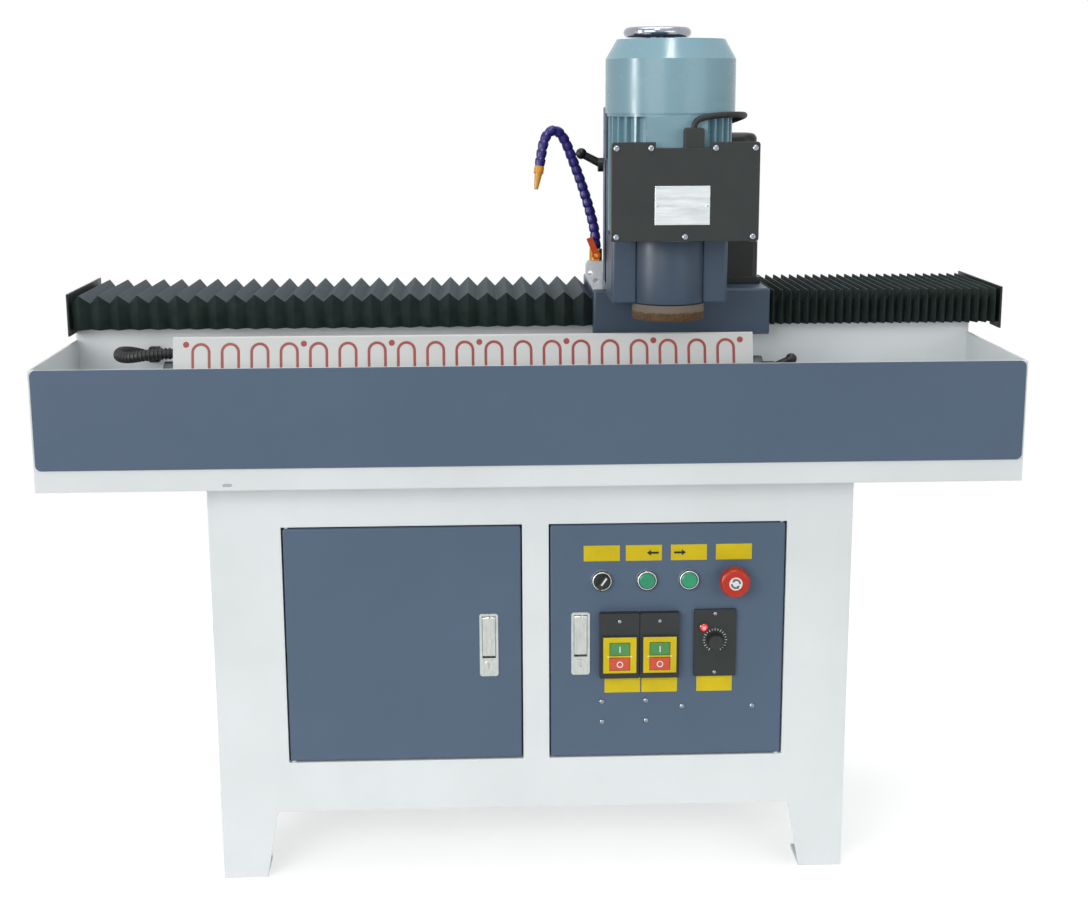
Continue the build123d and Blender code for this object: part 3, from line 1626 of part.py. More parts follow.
# Tilt clamp: hub on the right trunnion's stub, arm and ball
tilt_hub = 11.0
tilt_reach = 57.0
tilt_rise = 14.0
tilt_cap = 2.0
tilt_arm_inset = 6.0
tilt_hub_left = chuck_right + trunnion_length + clearance
tilt_hub_right = chuck_right + trunnion_length + stub_length + tilt_cap
tilt_start = (tilt_hub_right - tilt_arm_inset, chuck_axis_y, chuck_axis_z)
tilt_end = (chuck_right + tilt_reach, chuck_axis_y, chuck_axis_z + tilt_rise)
tilt_plane, tilt_length = lever_plane(tilt_start, tilt_end)
with BuildPart() as tilt_clamp:
    bar(tilt_hub_left, tilt_hub_right, chuck_axis_y, chuck_axis_z, tilt_hub)
    with BuildSketch(tilt_plane):
        with BuildLine():
            Polyline(
                (tilt_length + lever_ball, 0),
                (0, 0),
                (0, lever_arm),
                (tilt_length - neck_inset, lever_neck),
            )
            ThreePointArc(
                (tilt_length - neck_inset, lever_neck),
                (tilt_length, lever_ball),
                (tilt_length + lever_ball, 0),
            )
        make_face()
    revolve(axis=Axis(tilt_start, tilt_plane.x_dir))
    bar(
        tilt_hub_left,
        chuck_right + trunnion_length + stub_length,
        chuck_axis_y,
        chuck_axis_z,
        stub_radius + running,
        Mode.SUBTRACT,
    )
tilt_clamp.part.label = "tilt_clamp"
export_step(tilt_clamp.part, "parts/tilt_clamp.step")

# Doors: folded pans on the cabinet's pins, cut out for the latches and the control devices
left_latch_inset = 45.5
right_latch_inset = 42.2
latch_rise = 168.5
left_latch_x = left_door_x + door_width - left_latch_inset
right_latch_x = right_door_x + right_latch_inset
latch_z = door_bottom + latch_rise
latch_width = 26.2
latch_height = 91.4
latch_bezel = 2.0
latch_body_width = 23.0
latch_body_height = 84.0
latch_depth = 22.0
latch_corner = 4.0
row_rise = 260.0
selector_inset = 72.0
forward_inset = 135.0
reverse_inset = 194.0
estop_inset = 256.0
row_z = door_bottom + row_rise
selector_x = right_door_x + selector_inset
forward_x = right_door_x + forward_inset
reverse_x = right_door_x + reverse_inset
estop_x = right_door_x + estop_inset
row_xs = (selector_x, forward_x, reverse_x, estop_x)
barrel_radius = 12.5
switch_rise = 167.0
switch_z = door_bottom + switch_rise
switch_width = 55.6
switch_height = 95.0
wheel_switch_inset = 96.5
pump_switch_inset = 152.8
wheel_switch_x = right_door_x + wheel_switch_inset
pump_switch_x = right_door_x + pump_switch_inset
switch_body_width = 42.0
switch_body_height = 70.0
speed_inset = 231.7
speed_rise = 167.5
speed_x = right_door_x + speed_inset
speed_z = door_bottom + speed_rise
speed_width = 59.4
speed_height = 98.0
speed_body_width = 44.0
speed_body_height = 74.0
sheet_rear = cabinet_front + door_sheet
door_rear = cabinet_front + door_thickness
with BuildPart() as left_door:
    block(left_door_x, left_door_x + door_width, cabinet_front, door_rear, door_bottom, door_top)
    fillet(edges().filter_by(Axis.Y), door_corner)
    fillet(edges().filter_by(Axis.Z).group_by(Axis.Y)[0].sort_by(Axis.X)[0], door_edge_round)
    block(
        left_door_x + door_sheet,
        left_door_x + door_width - door_sheet,
        sheet_rear,
        door_rear,
        door_bottom + door_sheet,
        door_top - door_sheet,
        Mode.SUBTRACT,
    )
    for z in (door_bottom, door_top - door_sheet):
        post(pivot_xs[0], pivot_y, z, z + door_sheet, pivot_radius + running, Mode.SUBTRACT)
    with Locations((left_latch_x, cabinet_front, latch_z)):
        Box(latch_body_width, 2 * door_sheet, latch_body_height, mode=Mode.SUBTRACT)
left_door.part.label = "left_door"
export_step(left_door.part, "parts/left_door.step")

with BuildPart() as right_door:
    block(right_door_x, right_door_x + door_width, cabinet_front, door_rear, door_bottom, door_top)
    fillet(edges().filter_by(Axis.Y), door_corner)
    fillet(edges().filter_by(Axis.Z).group_by(Axis.Y)[0].sort_by(Axis.X)[-1], door_edge_round)
    block(
        right_door_x + door_sheet,
        right_door_x + door_width - door_sheet,
        sheet_rear,
        door_rear,
        door_bottom + door_sheet,
        door_top - door_sheet,
        Mode.SUBTRACT,
    )
    for z in (door_bottom, door_top - door_sheet):
        post(pivot_xs[1], pivot_y, z, z + door_sheet, pivot_radius + running, Mode.SUBTRACT)
    with Locations((right_latch_x, cabinet_front, latch_z)):
        Box(latch_body_width, 2 * door_sheet, latch_body_height, mode=Mode.SUBTRACT)
    with Locations((wheel_switch_x, cabinet_front, switch_z), (pump_switch_x, cabinet_front, switch_z)):
        Box(switch_body_width, 2 * door_sheet, switch_body_height, mode=Mode.SUBTRACT)
    with Locations((speed_x, cabinet_front, speed_z)):
        Box(speed_body_width, 2 * door_sheet, speed_body_height, mode=Mode.SUBTRACT)
    for x in row_xs:
        rod(x, cabinet_front, sheet_rear, row_z, barrel_radius + running, Mode.SUBTRACT)
right_door.part.label = "right_door"
export_step(right_door.part, "parts/right_door.step")

# Recessed latches: bezel, body, hinge bores and a key cylinder under the lever
recess_width = 19.0
recess_depth = 11.0
latch_lever_width = recess_width - 2 * clearance
latch_lever_thickness = 7.0
latch_lever_length = 54.0
latch_lever_roll = latch_lever_thickness / 2
latch_front = cabinet_front - latch_bezel
latch_pin_y = latch_front + latch_lever_roll
latch_pin_rise = 38.0
latch_pin_z = latch_z + latch_pin_rise
latch_pin_radius = 1.5
latch_pin_reach = 11.0
finger_room = 3.0
recess_top = latch_pin_z + latch_lever_roll + clearance
recess_bottom = latch_pin_z - latch_lever_length - finger_room
key_drop = 30.0
key_z = latch_z - key_drop
key_radius = 7.0
key_proud = 1.0
key_slot_width = 1.6
key_slot_height = 8.0
with BuildPart() as left_latch:
    with Locations((left_latch_x, cabinet_front - latch_bezel / 2, latch_z)):
        Box(latch_width, latch_bezel, latch_height)
    fillet(edges().filter_by(Axis.Y), latch_corner)
    with Locations((left_latch_x, cabinet_front + latch_depth / 2, latch_z)):
        Box(latch_body_width, latch_depth, latch_body_height)
    rod(left_latch_x, latch_front - key_proud, latch_front, key_z, key_radius)
    with Locations((left_latch_x, latch_front, key_z)):
        Box(key_slot_width, 2 * latch_bezel, key_slot_height, mode=Mode.SUBTRACT)
    block(
        left_latch_x - recess_width / 2,
        left_latch_x + recess_width / 2,
        latch_front,
        latch_front + recess_depth,
        recess_bottom,
        recess_top,
        Mode.SUBTRACT,
    )
    bar(
        left_latch_x - latch_pin_reach,
        left_latch_x + latch_pin_reach,
        latch_pin_y,
        latch_pin_z,
        latch_pin_radius + running,
        Mode.SUBTRACT,
    )
left_latch.part.label = "left_latch"
export_step(left_latch.part, "parts/left_latch.step")

with BuildPart() as right_latch:
    with Locations((right_latch_x, cabinet_front - latch_bezel / 2, latch_z)):
        Box(latch_width, latch_bezel, latch_height)
    fillet(edges().filter_by(Axis.Y), latch_corner)
    with Locations((right_latch_x, cabinet_front + latch_depth / 2, latch_z)):
        Box(latch_body_width, latch_depth, latch_body_height)
    rod(right_latch_x, latch_front - key_proud, latch_front, key_z, key_radius)
    with Locations((right_latch_x, latch_front, key_z)):
        Box(key_slot_width, 2 * latch_bezel, key_slot_height, mode=Mode.SUBTRACT)
    block(
        right_latch_x - recess_width / 2,
        right_latch_x + recess_width / 2,
        latch_front,
        latch_front + recess_depth,
        recess_bottom,
        recess_top,
        Mode.SUBTRACT,
    )
    bar(
        right_latch_x - latch_pin_reach,
        right_latch_x + latch_pin_reach,
        latch_pin_y,
        latch_pin_z,
        latch_pin_radius + running,
        Mode.SUBTRACT,
    )
right_latch.part.label = "right_latch"
export_step(right_latch.part, "parts/right_latch.step")


def latch_lever(x):
    """Lever, its rolled top and the pin through it, in the recess of the latch at x."""
    half = latch_lever_width / 2
    reach = latch_pin_reach - clearance
    low = latch_pin_z - latch_lever_length
    block(x - half, x + half, latch_front, latch_front + latch_lever_thickness, low, latch_pin_z)
    bar(x - half, x + half, latch_pin_y, latch_pin_z, latch_lever_roll)
    bar(x - reach, x + reach, latch_pin_y, latch_pin_z, latch_pin_radius)


with BuildPart() as left_latch_lever:
    latch_lever(left_latch_x)
left_latch_lever.part.label = "left_latch_lever"
export_step(left_latch_lever.part, "parts/left_latch_lever.step")

with BuildPart() as right_latch_lever:
    latch_lever(right_latch_x)
right_latch_lever.part.label = "right_latch_lever"
export_step(right_latch_lever.part, "parts/right_latch_lever.step")

# Control housings on the right door: four collars, two switch boxes and the speed controller
collar_radius = 14.75
collar_proud = 6.0
barrel_length = 28.0
barrel_nut = 16.0
barrel_nut_length = 5.0
contact_half = 14.0
contact_length = 30.0
cap_radius = 11.0
cap_gap = 0.3
bore_depth = 18.0
switch_proud = 12.0
switch_frame_proud = 3.0
switch_frame_width = 50.0
switch_frame_height = 55.0
switch_frame_drop = 12.5
switch_frame_z = switch_z - switch_frame_drop
switch_body_depth = 40.0
switch_edge = 2.0
push_width = 28.0
start_height = 18.0
stop_height = 18.0
start_rise = 9.3
stop_drop = 12.7
start_z = switch_frame_z + start_rise
stop_z = switch_frame_z - stop_drop
push_well = 20.0
push_gap = 0.3
speed_proud = 5.0
speed_body_depth = 45.0
lamp_offset = 16.3
lamp_rise = 23.8
lamp_x = speed_x - lamp_offset
lamp_z = speed_z + lamp_rise
lamp_radius = 6.0
lamp_proud = 3.0
knob_offset = 0.3
knob_rise = 4.5
knob_x = speed_x - knob_offset
knob_z = speed_z + knob_rise
knob_shaft = 3.0
knob_shaft_depth = 12.0
collar_front = cabinet_front - collar_proud
switch_front = cabinet_front - switch_proud
frame_front = switch_front - switch_frame_proud
speed_front = cabinet_front - speed_proud
bore_end = cabinet_front + bore_depth
barrel_end = cabinet_front + barrel_length
with BuildPart() as control_housings:
    for x in (wheel_switch_x, pump_switch_x):
        with Locations((x, cabinet_front - switch_proud / 2, switch_z)):
            Box(switch_width, switch_proud, switch_height)
    with Locations((speed_x, cabinet_front - speed_proud / 2, speed_z)):
        Box(speed_width, speed_proud, speed_height)
    fillet(edges().filter_by(Axis.Y), switch_edge)
    for x in (wheel_switch_x, pump_switch_x):
        with Locations((x, switch_front - switch_frame_proud / 2, switch_frame_z)):
            Box(switch_frame_width, switch_frame_proud, switch_frame_height)
        with Locations((x, cabinet_front + switch_body_depth / 2, switch_z)):
            Box(switch_body_width, switch_body_depth, switch_body_height)
        for z, height in ((start_z, start_height), (stop_z, stop_height)):
            with Locations((x, frame_front + push_well / 2, z)):
                Box(push_width + 2 * push_gap, push_well, height + 2 * push_gap, mode=Mode.SUBTRACT)
    with Locations((speed_x, cabinet_front + speed_body_depth / 2, speed_z)):
        Box(speed_body_width, speed_body_depth, speed_body_height)
    rod(lamp_x, speed_front - lamp_proud, speed_front, lamp_z, lamp_radius)
    rod(knob_x, speed_front, speed_front + knob_shaft_depth, knob_z, knob_shaft + running, Mode.SUBTRACT)
    for x in row_xs:
        rod(x, collar_front, cabinet_front, row_z, collar_radius)
        rod(x, cabinet_front, barrel_end, row_z, barrel_radius)
        rod(x, sheet_rear, sheet_rear + barrel_nut_length, row_z, barrel_nut)
        block(
            x - contact_half,
            x + contact_half,
            barrel_end,
            barrel_end + contact_length,
            row_z - contact_half,
            row_z + contact_half,
        )
        rod(x, collar_front, bore_end, row_z, cap_radius + cap_gap, Mode.SUBTRACT)
control_housings.part.label = "control_housings"
export_step(control_housings.part, "parts/control_housings.step")

# Selector: round cap with a grip bar across it
cap_proud = 1.5
push_travel = 4.0
push_rest = 1.0
cap_front = collar_front - cap_proud
cap_rear = bore_end - push_travel - push_rest
grip_bar_width = 7.0
grip_bar_height = 20.0
grip_bar_depth = 10.0
grip_bar_turn = 35.0
with BuildPart() as selector:
    rod(selector_x, cap_front, cap_rear, row_z, cap_radius)
    with Locations(Location((selector_x, cap_front - grip_bar_depth / 2, row_z), (0, grip_bar_turn, 0))):
        Box(grip_bar_width, grip_bar_depth, grip_bar_height)
selector.part.label = "selector"
export_step(selector.part, "parts/selector.step")

# Two flush push-buttons for the traverse
cap_edge = 1.0
with BuildPart() as forward_button:
    rod(forward_x, cap_front, cap_rear, row_z, cap_radius)
    chamfer(edges().group_by(Axis.Y)[0], cap_edge)
forward_button.part.label = "forward_button"
export_step(forward_button.part, "parts/forward_button.step")

with BuildPart() as reverse_button:
    rod(reverse_x, cap_front, cap_rear, row_z, cap_radius)
    chamfer(edges().group_by(Axis.Y)[0], cap_edge)
reverse_button.part.label = "reverse_button"
export_step(reverse_button.part, "parts/reverse_button.step")

# Emergency stop: mushroom head on a neck
mushroom_radius = 21.0
mushroom_height = 15.0
mushroom_round = 6.0
mushroom_neck = 7.0
mushroom_rear = collar_front - mushroom_neck
with BuildPart() as estop:
    rod(estop_x, mushroom_rear - mushroom_height, mushroom_rear, row_z, mushroom_radius)
    fillet(edges().group_by(Axis.Y)[0], mushroom_round)
    rod(estop_x, mushroom_rear, cap_rear, row_z, cap_radius)
estop.part.label = "estop"
export_step(estop.part, "parts/estop.step")

# Start and stop buttons of the two switch boxes
push_proud = 2.0
push_front = frame_front - push_proud
push_rear = frame_front + push_well - push_travel - push_rest
push_mid_y = (push_front + push_rear) / 2
push_depth = push_rear - push_front
with BuildPart() as wheel_start_button:
    with Locations((wheel_switch_x, push_mid_y, start_z)):
        Box(push_width, push_depth, start_height)
    chamfer(edges().group_by(Axis.Y)[0], cap_edge)
wheel_start_button.part.label = "wheel_start_button"
export_step(wheel_start_button.part, "parts/wheel_start_button.step")

with BuildPart() as wheel_stop_button:
    with Locations((wheel_switch_x, push_mid_y, stop_z)):
        Box(push_width, push_depth, stop_height)
    chamfer(edges().group_by(Axis.Y)[0], cap_edge)
wheel_stop_button.part.label = "wheel_stop_button"
export_step(wheel_stop_button.part, "parts/wheel_stop_button.step")

with BuildPart() as pump_start_button:
    with Locations((pump_switch_x, push_mid_y, start_z)):
        Box(push_width, push_depth, start_height)
    chamfer(edges().group_by(Axis.Y)[0], cap_edge)
pump_start_button.part.label = "pump_start_button"
export_step(pump_start_button.part, "parts/pump_start_button.step")

with BuildPart() as pump_stop_button:
    with Locations((pump_switch_x, push_mid_y, stop_z)):
        Box(push_width, push_depth, stop_height)
    chamfer(edges().group_by(Axis.Y)[0], cap_edge)
pump_stop_button.part.label = "pump_stop_button"
export_step(pump_stop_button.part, "parts/pump_stop_button.step")

# Speed knob: fluted grip with a pointer rib and a shaft in the controller's plate
knob_radius = 11.0
knob_height = 14.0
knob_flutes = 18
flute_radius = 1.2
pointer_width = 2.0
knob_rear = speed_front - clearance
with BuildPart() as speed_knob:
    with BuildSketch(Plane.XZ.offset(-knob_rear)):
        with Locations((knob_x, knob_z)):
            Circle(knob_radius)
            with PolarLocations(knob_radius, knob_flutes):
                Circle(flute_radius, mode=Mode.SUBTRACT)
    extrude(amount=knob_height)
    with Locations((knob_x, knob_rear - knob_height, knob_z + knob_radius / 2)):
        Box(pointer_width, 2 * cap_edge, knob_radius - 2 * cap_edge)
    rod(knob_x, knob_rear, speed_front + knob_shaft_depth - clearance, knob_z, knob_shaft)
speed_knob.part.label = "speed_knob"
export_step(speed_knob.part, "parts/speed_knob.step")
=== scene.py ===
"""Looks of a straight-knife grinding machine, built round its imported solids.

The script is laid out as an add-on. Each operator dresses one piece or one group of like pieces,
and main() calls them in order. Everything is in metres: +X is the operator's right, +Y is away
from the operator, +Z is up.
"""
import json
from math import cos, pi, radians, sin

import bmesh
import bpy
from bpy.props import FloatProperty, FloatVectorProperty, IntProperty, PointerProperty
from mathutils import Matrix, Vector
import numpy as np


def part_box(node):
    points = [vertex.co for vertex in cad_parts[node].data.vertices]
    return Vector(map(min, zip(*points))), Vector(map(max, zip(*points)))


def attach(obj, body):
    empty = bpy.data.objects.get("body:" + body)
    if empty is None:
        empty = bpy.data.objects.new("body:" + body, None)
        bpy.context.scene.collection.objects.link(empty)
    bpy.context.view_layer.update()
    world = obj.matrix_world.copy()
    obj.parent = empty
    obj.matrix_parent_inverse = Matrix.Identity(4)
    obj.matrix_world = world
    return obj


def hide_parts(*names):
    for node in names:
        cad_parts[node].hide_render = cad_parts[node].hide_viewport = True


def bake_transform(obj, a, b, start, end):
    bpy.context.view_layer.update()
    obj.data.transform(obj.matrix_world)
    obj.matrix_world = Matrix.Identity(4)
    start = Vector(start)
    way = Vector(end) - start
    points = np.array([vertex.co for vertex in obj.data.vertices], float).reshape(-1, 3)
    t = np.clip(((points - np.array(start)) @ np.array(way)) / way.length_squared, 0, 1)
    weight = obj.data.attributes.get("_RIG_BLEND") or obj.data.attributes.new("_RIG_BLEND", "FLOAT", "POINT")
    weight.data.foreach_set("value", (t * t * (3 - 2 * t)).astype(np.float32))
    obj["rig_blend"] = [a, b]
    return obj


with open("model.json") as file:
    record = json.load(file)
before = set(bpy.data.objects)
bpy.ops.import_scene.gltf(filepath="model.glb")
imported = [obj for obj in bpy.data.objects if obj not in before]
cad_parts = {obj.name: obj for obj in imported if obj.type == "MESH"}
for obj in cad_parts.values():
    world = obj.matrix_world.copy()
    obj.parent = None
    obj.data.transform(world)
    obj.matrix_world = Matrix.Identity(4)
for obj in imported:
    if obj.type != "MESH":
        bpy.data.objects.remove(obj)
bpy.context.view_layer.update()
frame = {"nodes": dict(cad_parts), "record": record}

bl_info = {
    "name": "Knife grinder looks",
    "version": (1, 0, 0),
    "blender": (4, 5, 0),
    "location": "View3D > Sidebar > Grinder",
    "description": "Finishes and fine pieces of a straight-knife grinding machine",
    "category": "Object",
}

NODES = frame["nodes"]
SLOT_OF = {row["node"]: row["material_slot"] for row in frame["record"]["subparts"]}


# Colours and shaders


# Most of a noise lies between these values
NOISE_LOW, NOISE_HIGH = 0.3, 0.7
# Places of the colour sockets on a mix node
MIX_FACTOR, MIX_UNDER, MIX_TOP, MIX_RESULT = 0, 6, 7, 2
# Nodes that reckon with numbers and with vectors
NUMBERS, VECTORS = "ShaderNodeMath", "ShaderNodeVectorMath"


def tone(red, green, blue):
    """A colour as read off a screen, 0 to 255, made linear for a shader."""
    linear = []
    for part in (red, green, blue):
        share = part / 255
        linear.append(share / 12.92 if share <= 0.04045 else ((share + 0.055) / 1.055) ** 2.4)
    return (*linear, 1.0)


def shade(colour, factor):
    """A lighter or darker form of a linear colour."""
    return (*(min(1.0, part * factor) for part in colour[:3]), 1.0)


def connect(tree, value, socket):
    """Links another node's socket to a socket, or sets it to a constant."""
    if isinstance(value, bpy.types.NodeSocket):
        tree.links.new(value, socket)
    else:
        socket.default_value = value


def add_node(tree, kind, settings=None, **inputs):
    """A shader node with its settings, and with constants or links on its inputs."""
    made = tree.nodes.new(kind)
    for key, value in (settings or {}).items():
        setattr(made, key, value)
    for key, value in inputs.items():
        connect(tree, value, made.inputs[key.replace("_", " ")])
    return made


def reckoned(tree, operation, *values, kind=NUMBERS):
    """The number that an operation on numbers gives, or on vectors."""
    made = add_node(tree, kind, {"operation": operation})
    for value, socket in zip(values, made.inputs):
        connect(tree, value, socket)
    return made.outputs["Value"]


def ranged(tree, value, start, end, low=0.0, high=1.0, run="LINEAR"):
    """A number that runs from low to high as a value goes from start to end."""
    made = add_node(tree, "ShaderNodeMapRange", {"interpolation_type": run}, Value=value)
    for key, limit in (("From Min", start), ("From Max", end), ("To Min", low), ("To Max", high)):
        made.inputs[key].default_value = limit
    return made.outputs["Result"]


def blank_finish(name):
    """A new material with its tree, its shader and the object's own coordinates."""
    material = bpy.data.materials.new(name)
    material.use_nodes = True
    tree = material.node_tree
    shader = tree.nodes["Principled BSDF"]
    place = add_node(tree, "ShaderNodeTexCoord").outputs["Object"]
    return material, tree, shader, place


def speckle(tree, place, scale, detail=3.0, roughness=0.55, stretch=None):
    """Noise over the piece, stretched along an axis where a stretch is given."""
    if stretch:
        place = add_node(tree, "ShaderNodeMapping", Vector=place, Scale=stretch).outputs["Vector"]
    noise = add_node(
        tree, "ShaderNodeTexNoise", Vector=place, Scale=scale, Detail=detail, Roughness=roughness
    )
    return noise.outputs["Fac"]


def two_tones(tree, factor, low, high, start=NOISE_LOW, end=NOISE_HIGH):
    """A colour that runs from low to high as the factor goes from start to end."""
    ramp = add_node(tree, "ShaderNodeValToRGB", Fac=factor)
    for stop, position, colour in zip(ramp.color_ramp.elements, (start, end), (low, high)):
        stop.position = position
        stop.color = colour
    return ramp.outputs["Color"]


def between(tree, noise, low, high):
    """A number that runs from low to high with a noise."""
    return ranged(tree, noise, NOISE_LOW, NOISE_HIGH, low, high)


def over(tree, factor, under, top):
    """One colour laid over another by a factor."""
    mix = add_node(tree, "ShaderNodeMix", {"data_type": "RGBA"})
    for place, value in ((MIX_FACTOR, factor), (MIX_UNDER, under), (MIX_TOP, top)):
        connect(tree, value, mix.inputs[place])
    return mix.outputs[MIX_RESULT]


def rubbed_edges(tree, place, width, amount):
    """A factor that is high along a piece's edges and broken up by noise, where paint wears."""
    rounded = add_node(tree, "ShaderNodeBevel", {"samples": 4}, Radius=width).outputs["Normal"]
    flat = add_node(tree, "ShaderNodeNewGeometry").outputs["Normal"]
    alike = reckoned(tree, "DOT_PRODUCT", rounded, flat, kind=VECTORS)
    edge = ranged(tree, alike, start=0.98, end=0.8, high=amount)
    broken = between(tree, speckle(tree, place, scale=90.0), 0.0, 1.0)
    return reckoned(tree, "MULTIPLY", edge, broken)


def relief(tree, shader, height, depth, strength):
    """Bump from a height, in metres of depth."""
    bump = add_node(tree, "ShaderNodeBump", Height=height, Distance=depth, Strength=strength)
    tree.links.new(bump.outputs["Normal"], shader.inputs["Normal"])


def set_shader(tree, shader, **values):
    """Links or constants on the shader's own sockets."""
    for key, value in values.items():
        connect(tree, value, shader.inputs[key.replace("_", " ")])


def paint(name, colour, gloss, peel, wear):
    """Sprayed paint: faint cloudiness, orange-peel skin, edges rubbed a little pale."""
    material, tree, shader, place = blank_finish(name)
    clouds = speckle(tree, place, scale=5.0, detail=5.0)
    sprayed = two_tones(tree, clouds, shade(colour, 0.95), shade(colour, 1.035))
    edges = rubbed_edges(tree, place, width=0.0012, amount=wear)
    dull = between(tree, speckle(tree, place, scale=30.0), gloss - 0.05, gloss + 0.07)
    relief(tree, shader, speckle(tree, place, scale=620.0, detail=2.0), depth=0.0004, strength=peel)
    set_shader(
        tree,
        shader,
        Base_Color=over(tree, edges, sprayed, shade(colour, 1.7)),
        Roughness=dull,
        Specular_IOR_Level=0.3,
    )
    return material


def bare_metal(name, colour, rough, grain, lines):
    """Machined or plated metal with lines along the grain's long axis."""
    material, tree, shader, place = blank_finish(name)
    marks = speckle(tree, place, scale=260.0, detail=3.0, roughness=0.6, stretch=grain)
    relief(tree, shader, marks, depth=0.0002, strength=lines)
    set_shader(
        tree,
        shader,
        Base_Color=two_tones(tree, marks, shade(colour, 0.85), shade(colour, 1.06)),
        Roughness=between(tree, marks, rough - 0.06, rough + 0.08),
        Metallic=1.0,
    )
    return material


def moulded(name, colour, rough, grain):
    """Moulded plastic with a fine spark-eroded grain and uneven gloss."""
    material, tree, shader, place = blank_finish(name)
    clouds = speckle(tree, place, scale=22.0)
    cast = two_tones(tree, clouds, shade(colour, 0.9), shade(colour, 1.1))
    edges = rubbed_edges(tree, place, width=0.0008, amount=0.35)
    dull = between(tree, speckle(tree, place, scale=60.0), rough - 0.05, rough + 0.08)
    pits = speckle(tree, place, scale=1100.0, detail=2.0)
    relief(tree, shader, pits, depth=0.0003, strength=grain)
    set_shader(
        tree,
        shader,
        Base_Color=over(tree, edges, cast, shade(colour, 1.6)),
        Roughness=dull,
        Specular_IOR_Level=0.35,
    )
    return material


def bellows_cloth(name, colour, dust):
    """Coated cloth: a tight weave, painted paler on the faces that look up, for dust and for painted sheen
    of the light from above.
    """
    material, tree, shader, place = blank_finish(name)
    normal = add_node(tree, "ShaderNodeNewGeometry").outputs["Normal"]
    upward = add_node(tree, "ShaderNodeSeparateXYZ", Vector=normal).outputs["Z"]
    # Paler tone on faces that look up: some dust, and painted sheen of the light from above
    pale_share = ranged(tree, upward, start=0.36, end=0.75, high=0.75)
    clouds = speckle(tree, place, scale=35.0, detail=4.0)
    cloth = two_tones(tree, clouds, shade(colour, 0.8), shade(colour, 1.2))
    threads = []
    for way in ("X", "Y"):
        settings = {"bands_direction": way}
        thread = add_node(
            tree, "ShaderNodeTexWave", settings, Vector=place, Scale=420.0, Distortion=0.6
        )
        threads.append(thread.outputs["Fac"])
    relief(tree, shader, reckoned(tree, "ADD", *threads), depth=0.0003, strength=0.25)
    set_shader(
        tree,
        shader,
        Base_Color=over(tree, pale_share, cloth, dust),
        Roughness=0.72,
        Specular_IOR_Level=0.06,
    )
    return material


def bonded_grit(name, colour, dark, dust, dust_low, dust_high):
    """Bonded abrasive: grains of several browns with pores, and dust above a ragged line."""
    material, tree, shader, place = blank_finish(name)
    grains = add_node(tree, "ShaderNodeTexVoronoi", Vector=place, Scale=850.0).outputs["Distance"]
    clouds = speckle(tree, place, scale=60.0, detail=4.0)
    bond = two_tones(tree, clouds, shade(colour, 0.75), shade(colour, 1.2))
    bare = over(tree, ranged(tree, grains, start=0.45, end=0.8), bond, dark)
    height = add_node(tree, "ShaderNodeSeparateXYZ", Vector=place).outputs["Z"]
    tatters = speckle(tree, place, scale=130.0, detail=4.0)
    tatter_reach = 0.006
    ragged = reckoned(tree, "MULTIPLY_ADD", tatters, tatter_reach, height)
    pale_share = ranged(tree, ragged, dust_low, dust_high, high=0.85)
    relief(tree, shader, grains, depth=0.0008, strength=0.8)
    set_shader(tree, shader, Base_Color=over(tree, pale_share, bare, dust), Roughness=0.95)
    return material


def lit_lens(name, colour, core, centre, radius):
    """A small lamp's coloured lens, lit from inside, with a pale core."""
    material, tree, shader, place = blank_finish(name)
    ribs = speckle(tree, place, scale=700.0)
    away = reckoned(tree, "DISTANCE", place, centre, kind=VECTORS)
    set_shader(
        tree,
        shader,
        Base_Color=two_tones(tree, ribs, shade(colour, 0.9), shade(colour, 1.1)),
        Emission_Color=two_tones(tree, away, core, colour, 0.25 * radius, 0.7 * radius),
        Emission_Strength=ranged(tree, away, 0.0, radius, low=1.3, high=0.1),
        Roughness=0.15,
    )
    return material


FINISHES = {}


def finish(name):
    """The machine's finish of that name, made when it is first asked for."""
    if name not in FINISHES:
        FINISHES[name] = RECIPES[name](bpy.context.scene.grinder_colours, name)
    return FINISHES[name]


WHEEL_LOW, WHEEL_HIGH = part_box("grinding_wheel")
# The wheel's dust starts at this share of its height, and is full a little above it
DUST_SHARE = 0.62
DUST_FADE = 0.0015
DUST_LINE = WHEEL_LOW.z + DUST_SHARE * (WHEEL_HIGH.z - WHEEL_LOW.z)
# Stretch of a metal's lines
EVEN = (1, 1, 1)
LONG_X = (0.05, 1, 1)
SHORT_X = (0.1, 1, 1)
LONG_Y = (1, 0.3, 1)
UPRIGHT = (1, 1, 0.2)


def chosen(colours, colour, factor=1.0):
    """A fixed colour, or the user's colour of that name, made lighter or darker by a factor."""
    return shade(getattr(colours, colour) if isinstance(colour, str) else colour, factor)


def painted(colour, gloss, peel, wear, factor=1.0):
    """The recipe of a paint."""
    return lambda colours, name: paint(name, chosen(colours, colour, factor), gloss, peel, wear)


def plastic(colour, rough, grain, factor=1.0):
    """The recipe of a plastic."""
    return lambda colours, name: moulded(name, chosen(colours, colour, factor), rough, grain)


def metal(colour, rough, grain=EVEN, lines=0.15):
    """The recipe of a metal."""
    return lambda colours, name: bare_metal(name, colour, rough, grain, lines)


def cover_cloth(colours, name):
    """The cloth of the two bellows, whose paler tone on upward faces is dust and painted sheen."""
    return bellows_cloth(name, colour=tone(46, 58, 55), dust=tone(99, 108, 115))


def wheel_grit(colours, name):
    """The grinding wheel's abrasive, with grinding dust on its upper part."""
    return bonded_grit(
        name,
        chosen(colours, "abrasive_brown"),
        dark=tone(44, 31, 19),
        dust=tone(130, 121, 109),
        dust_low=DUST_LINE,
        dust_high=DUST_LINE + DUST_FADE,
    )


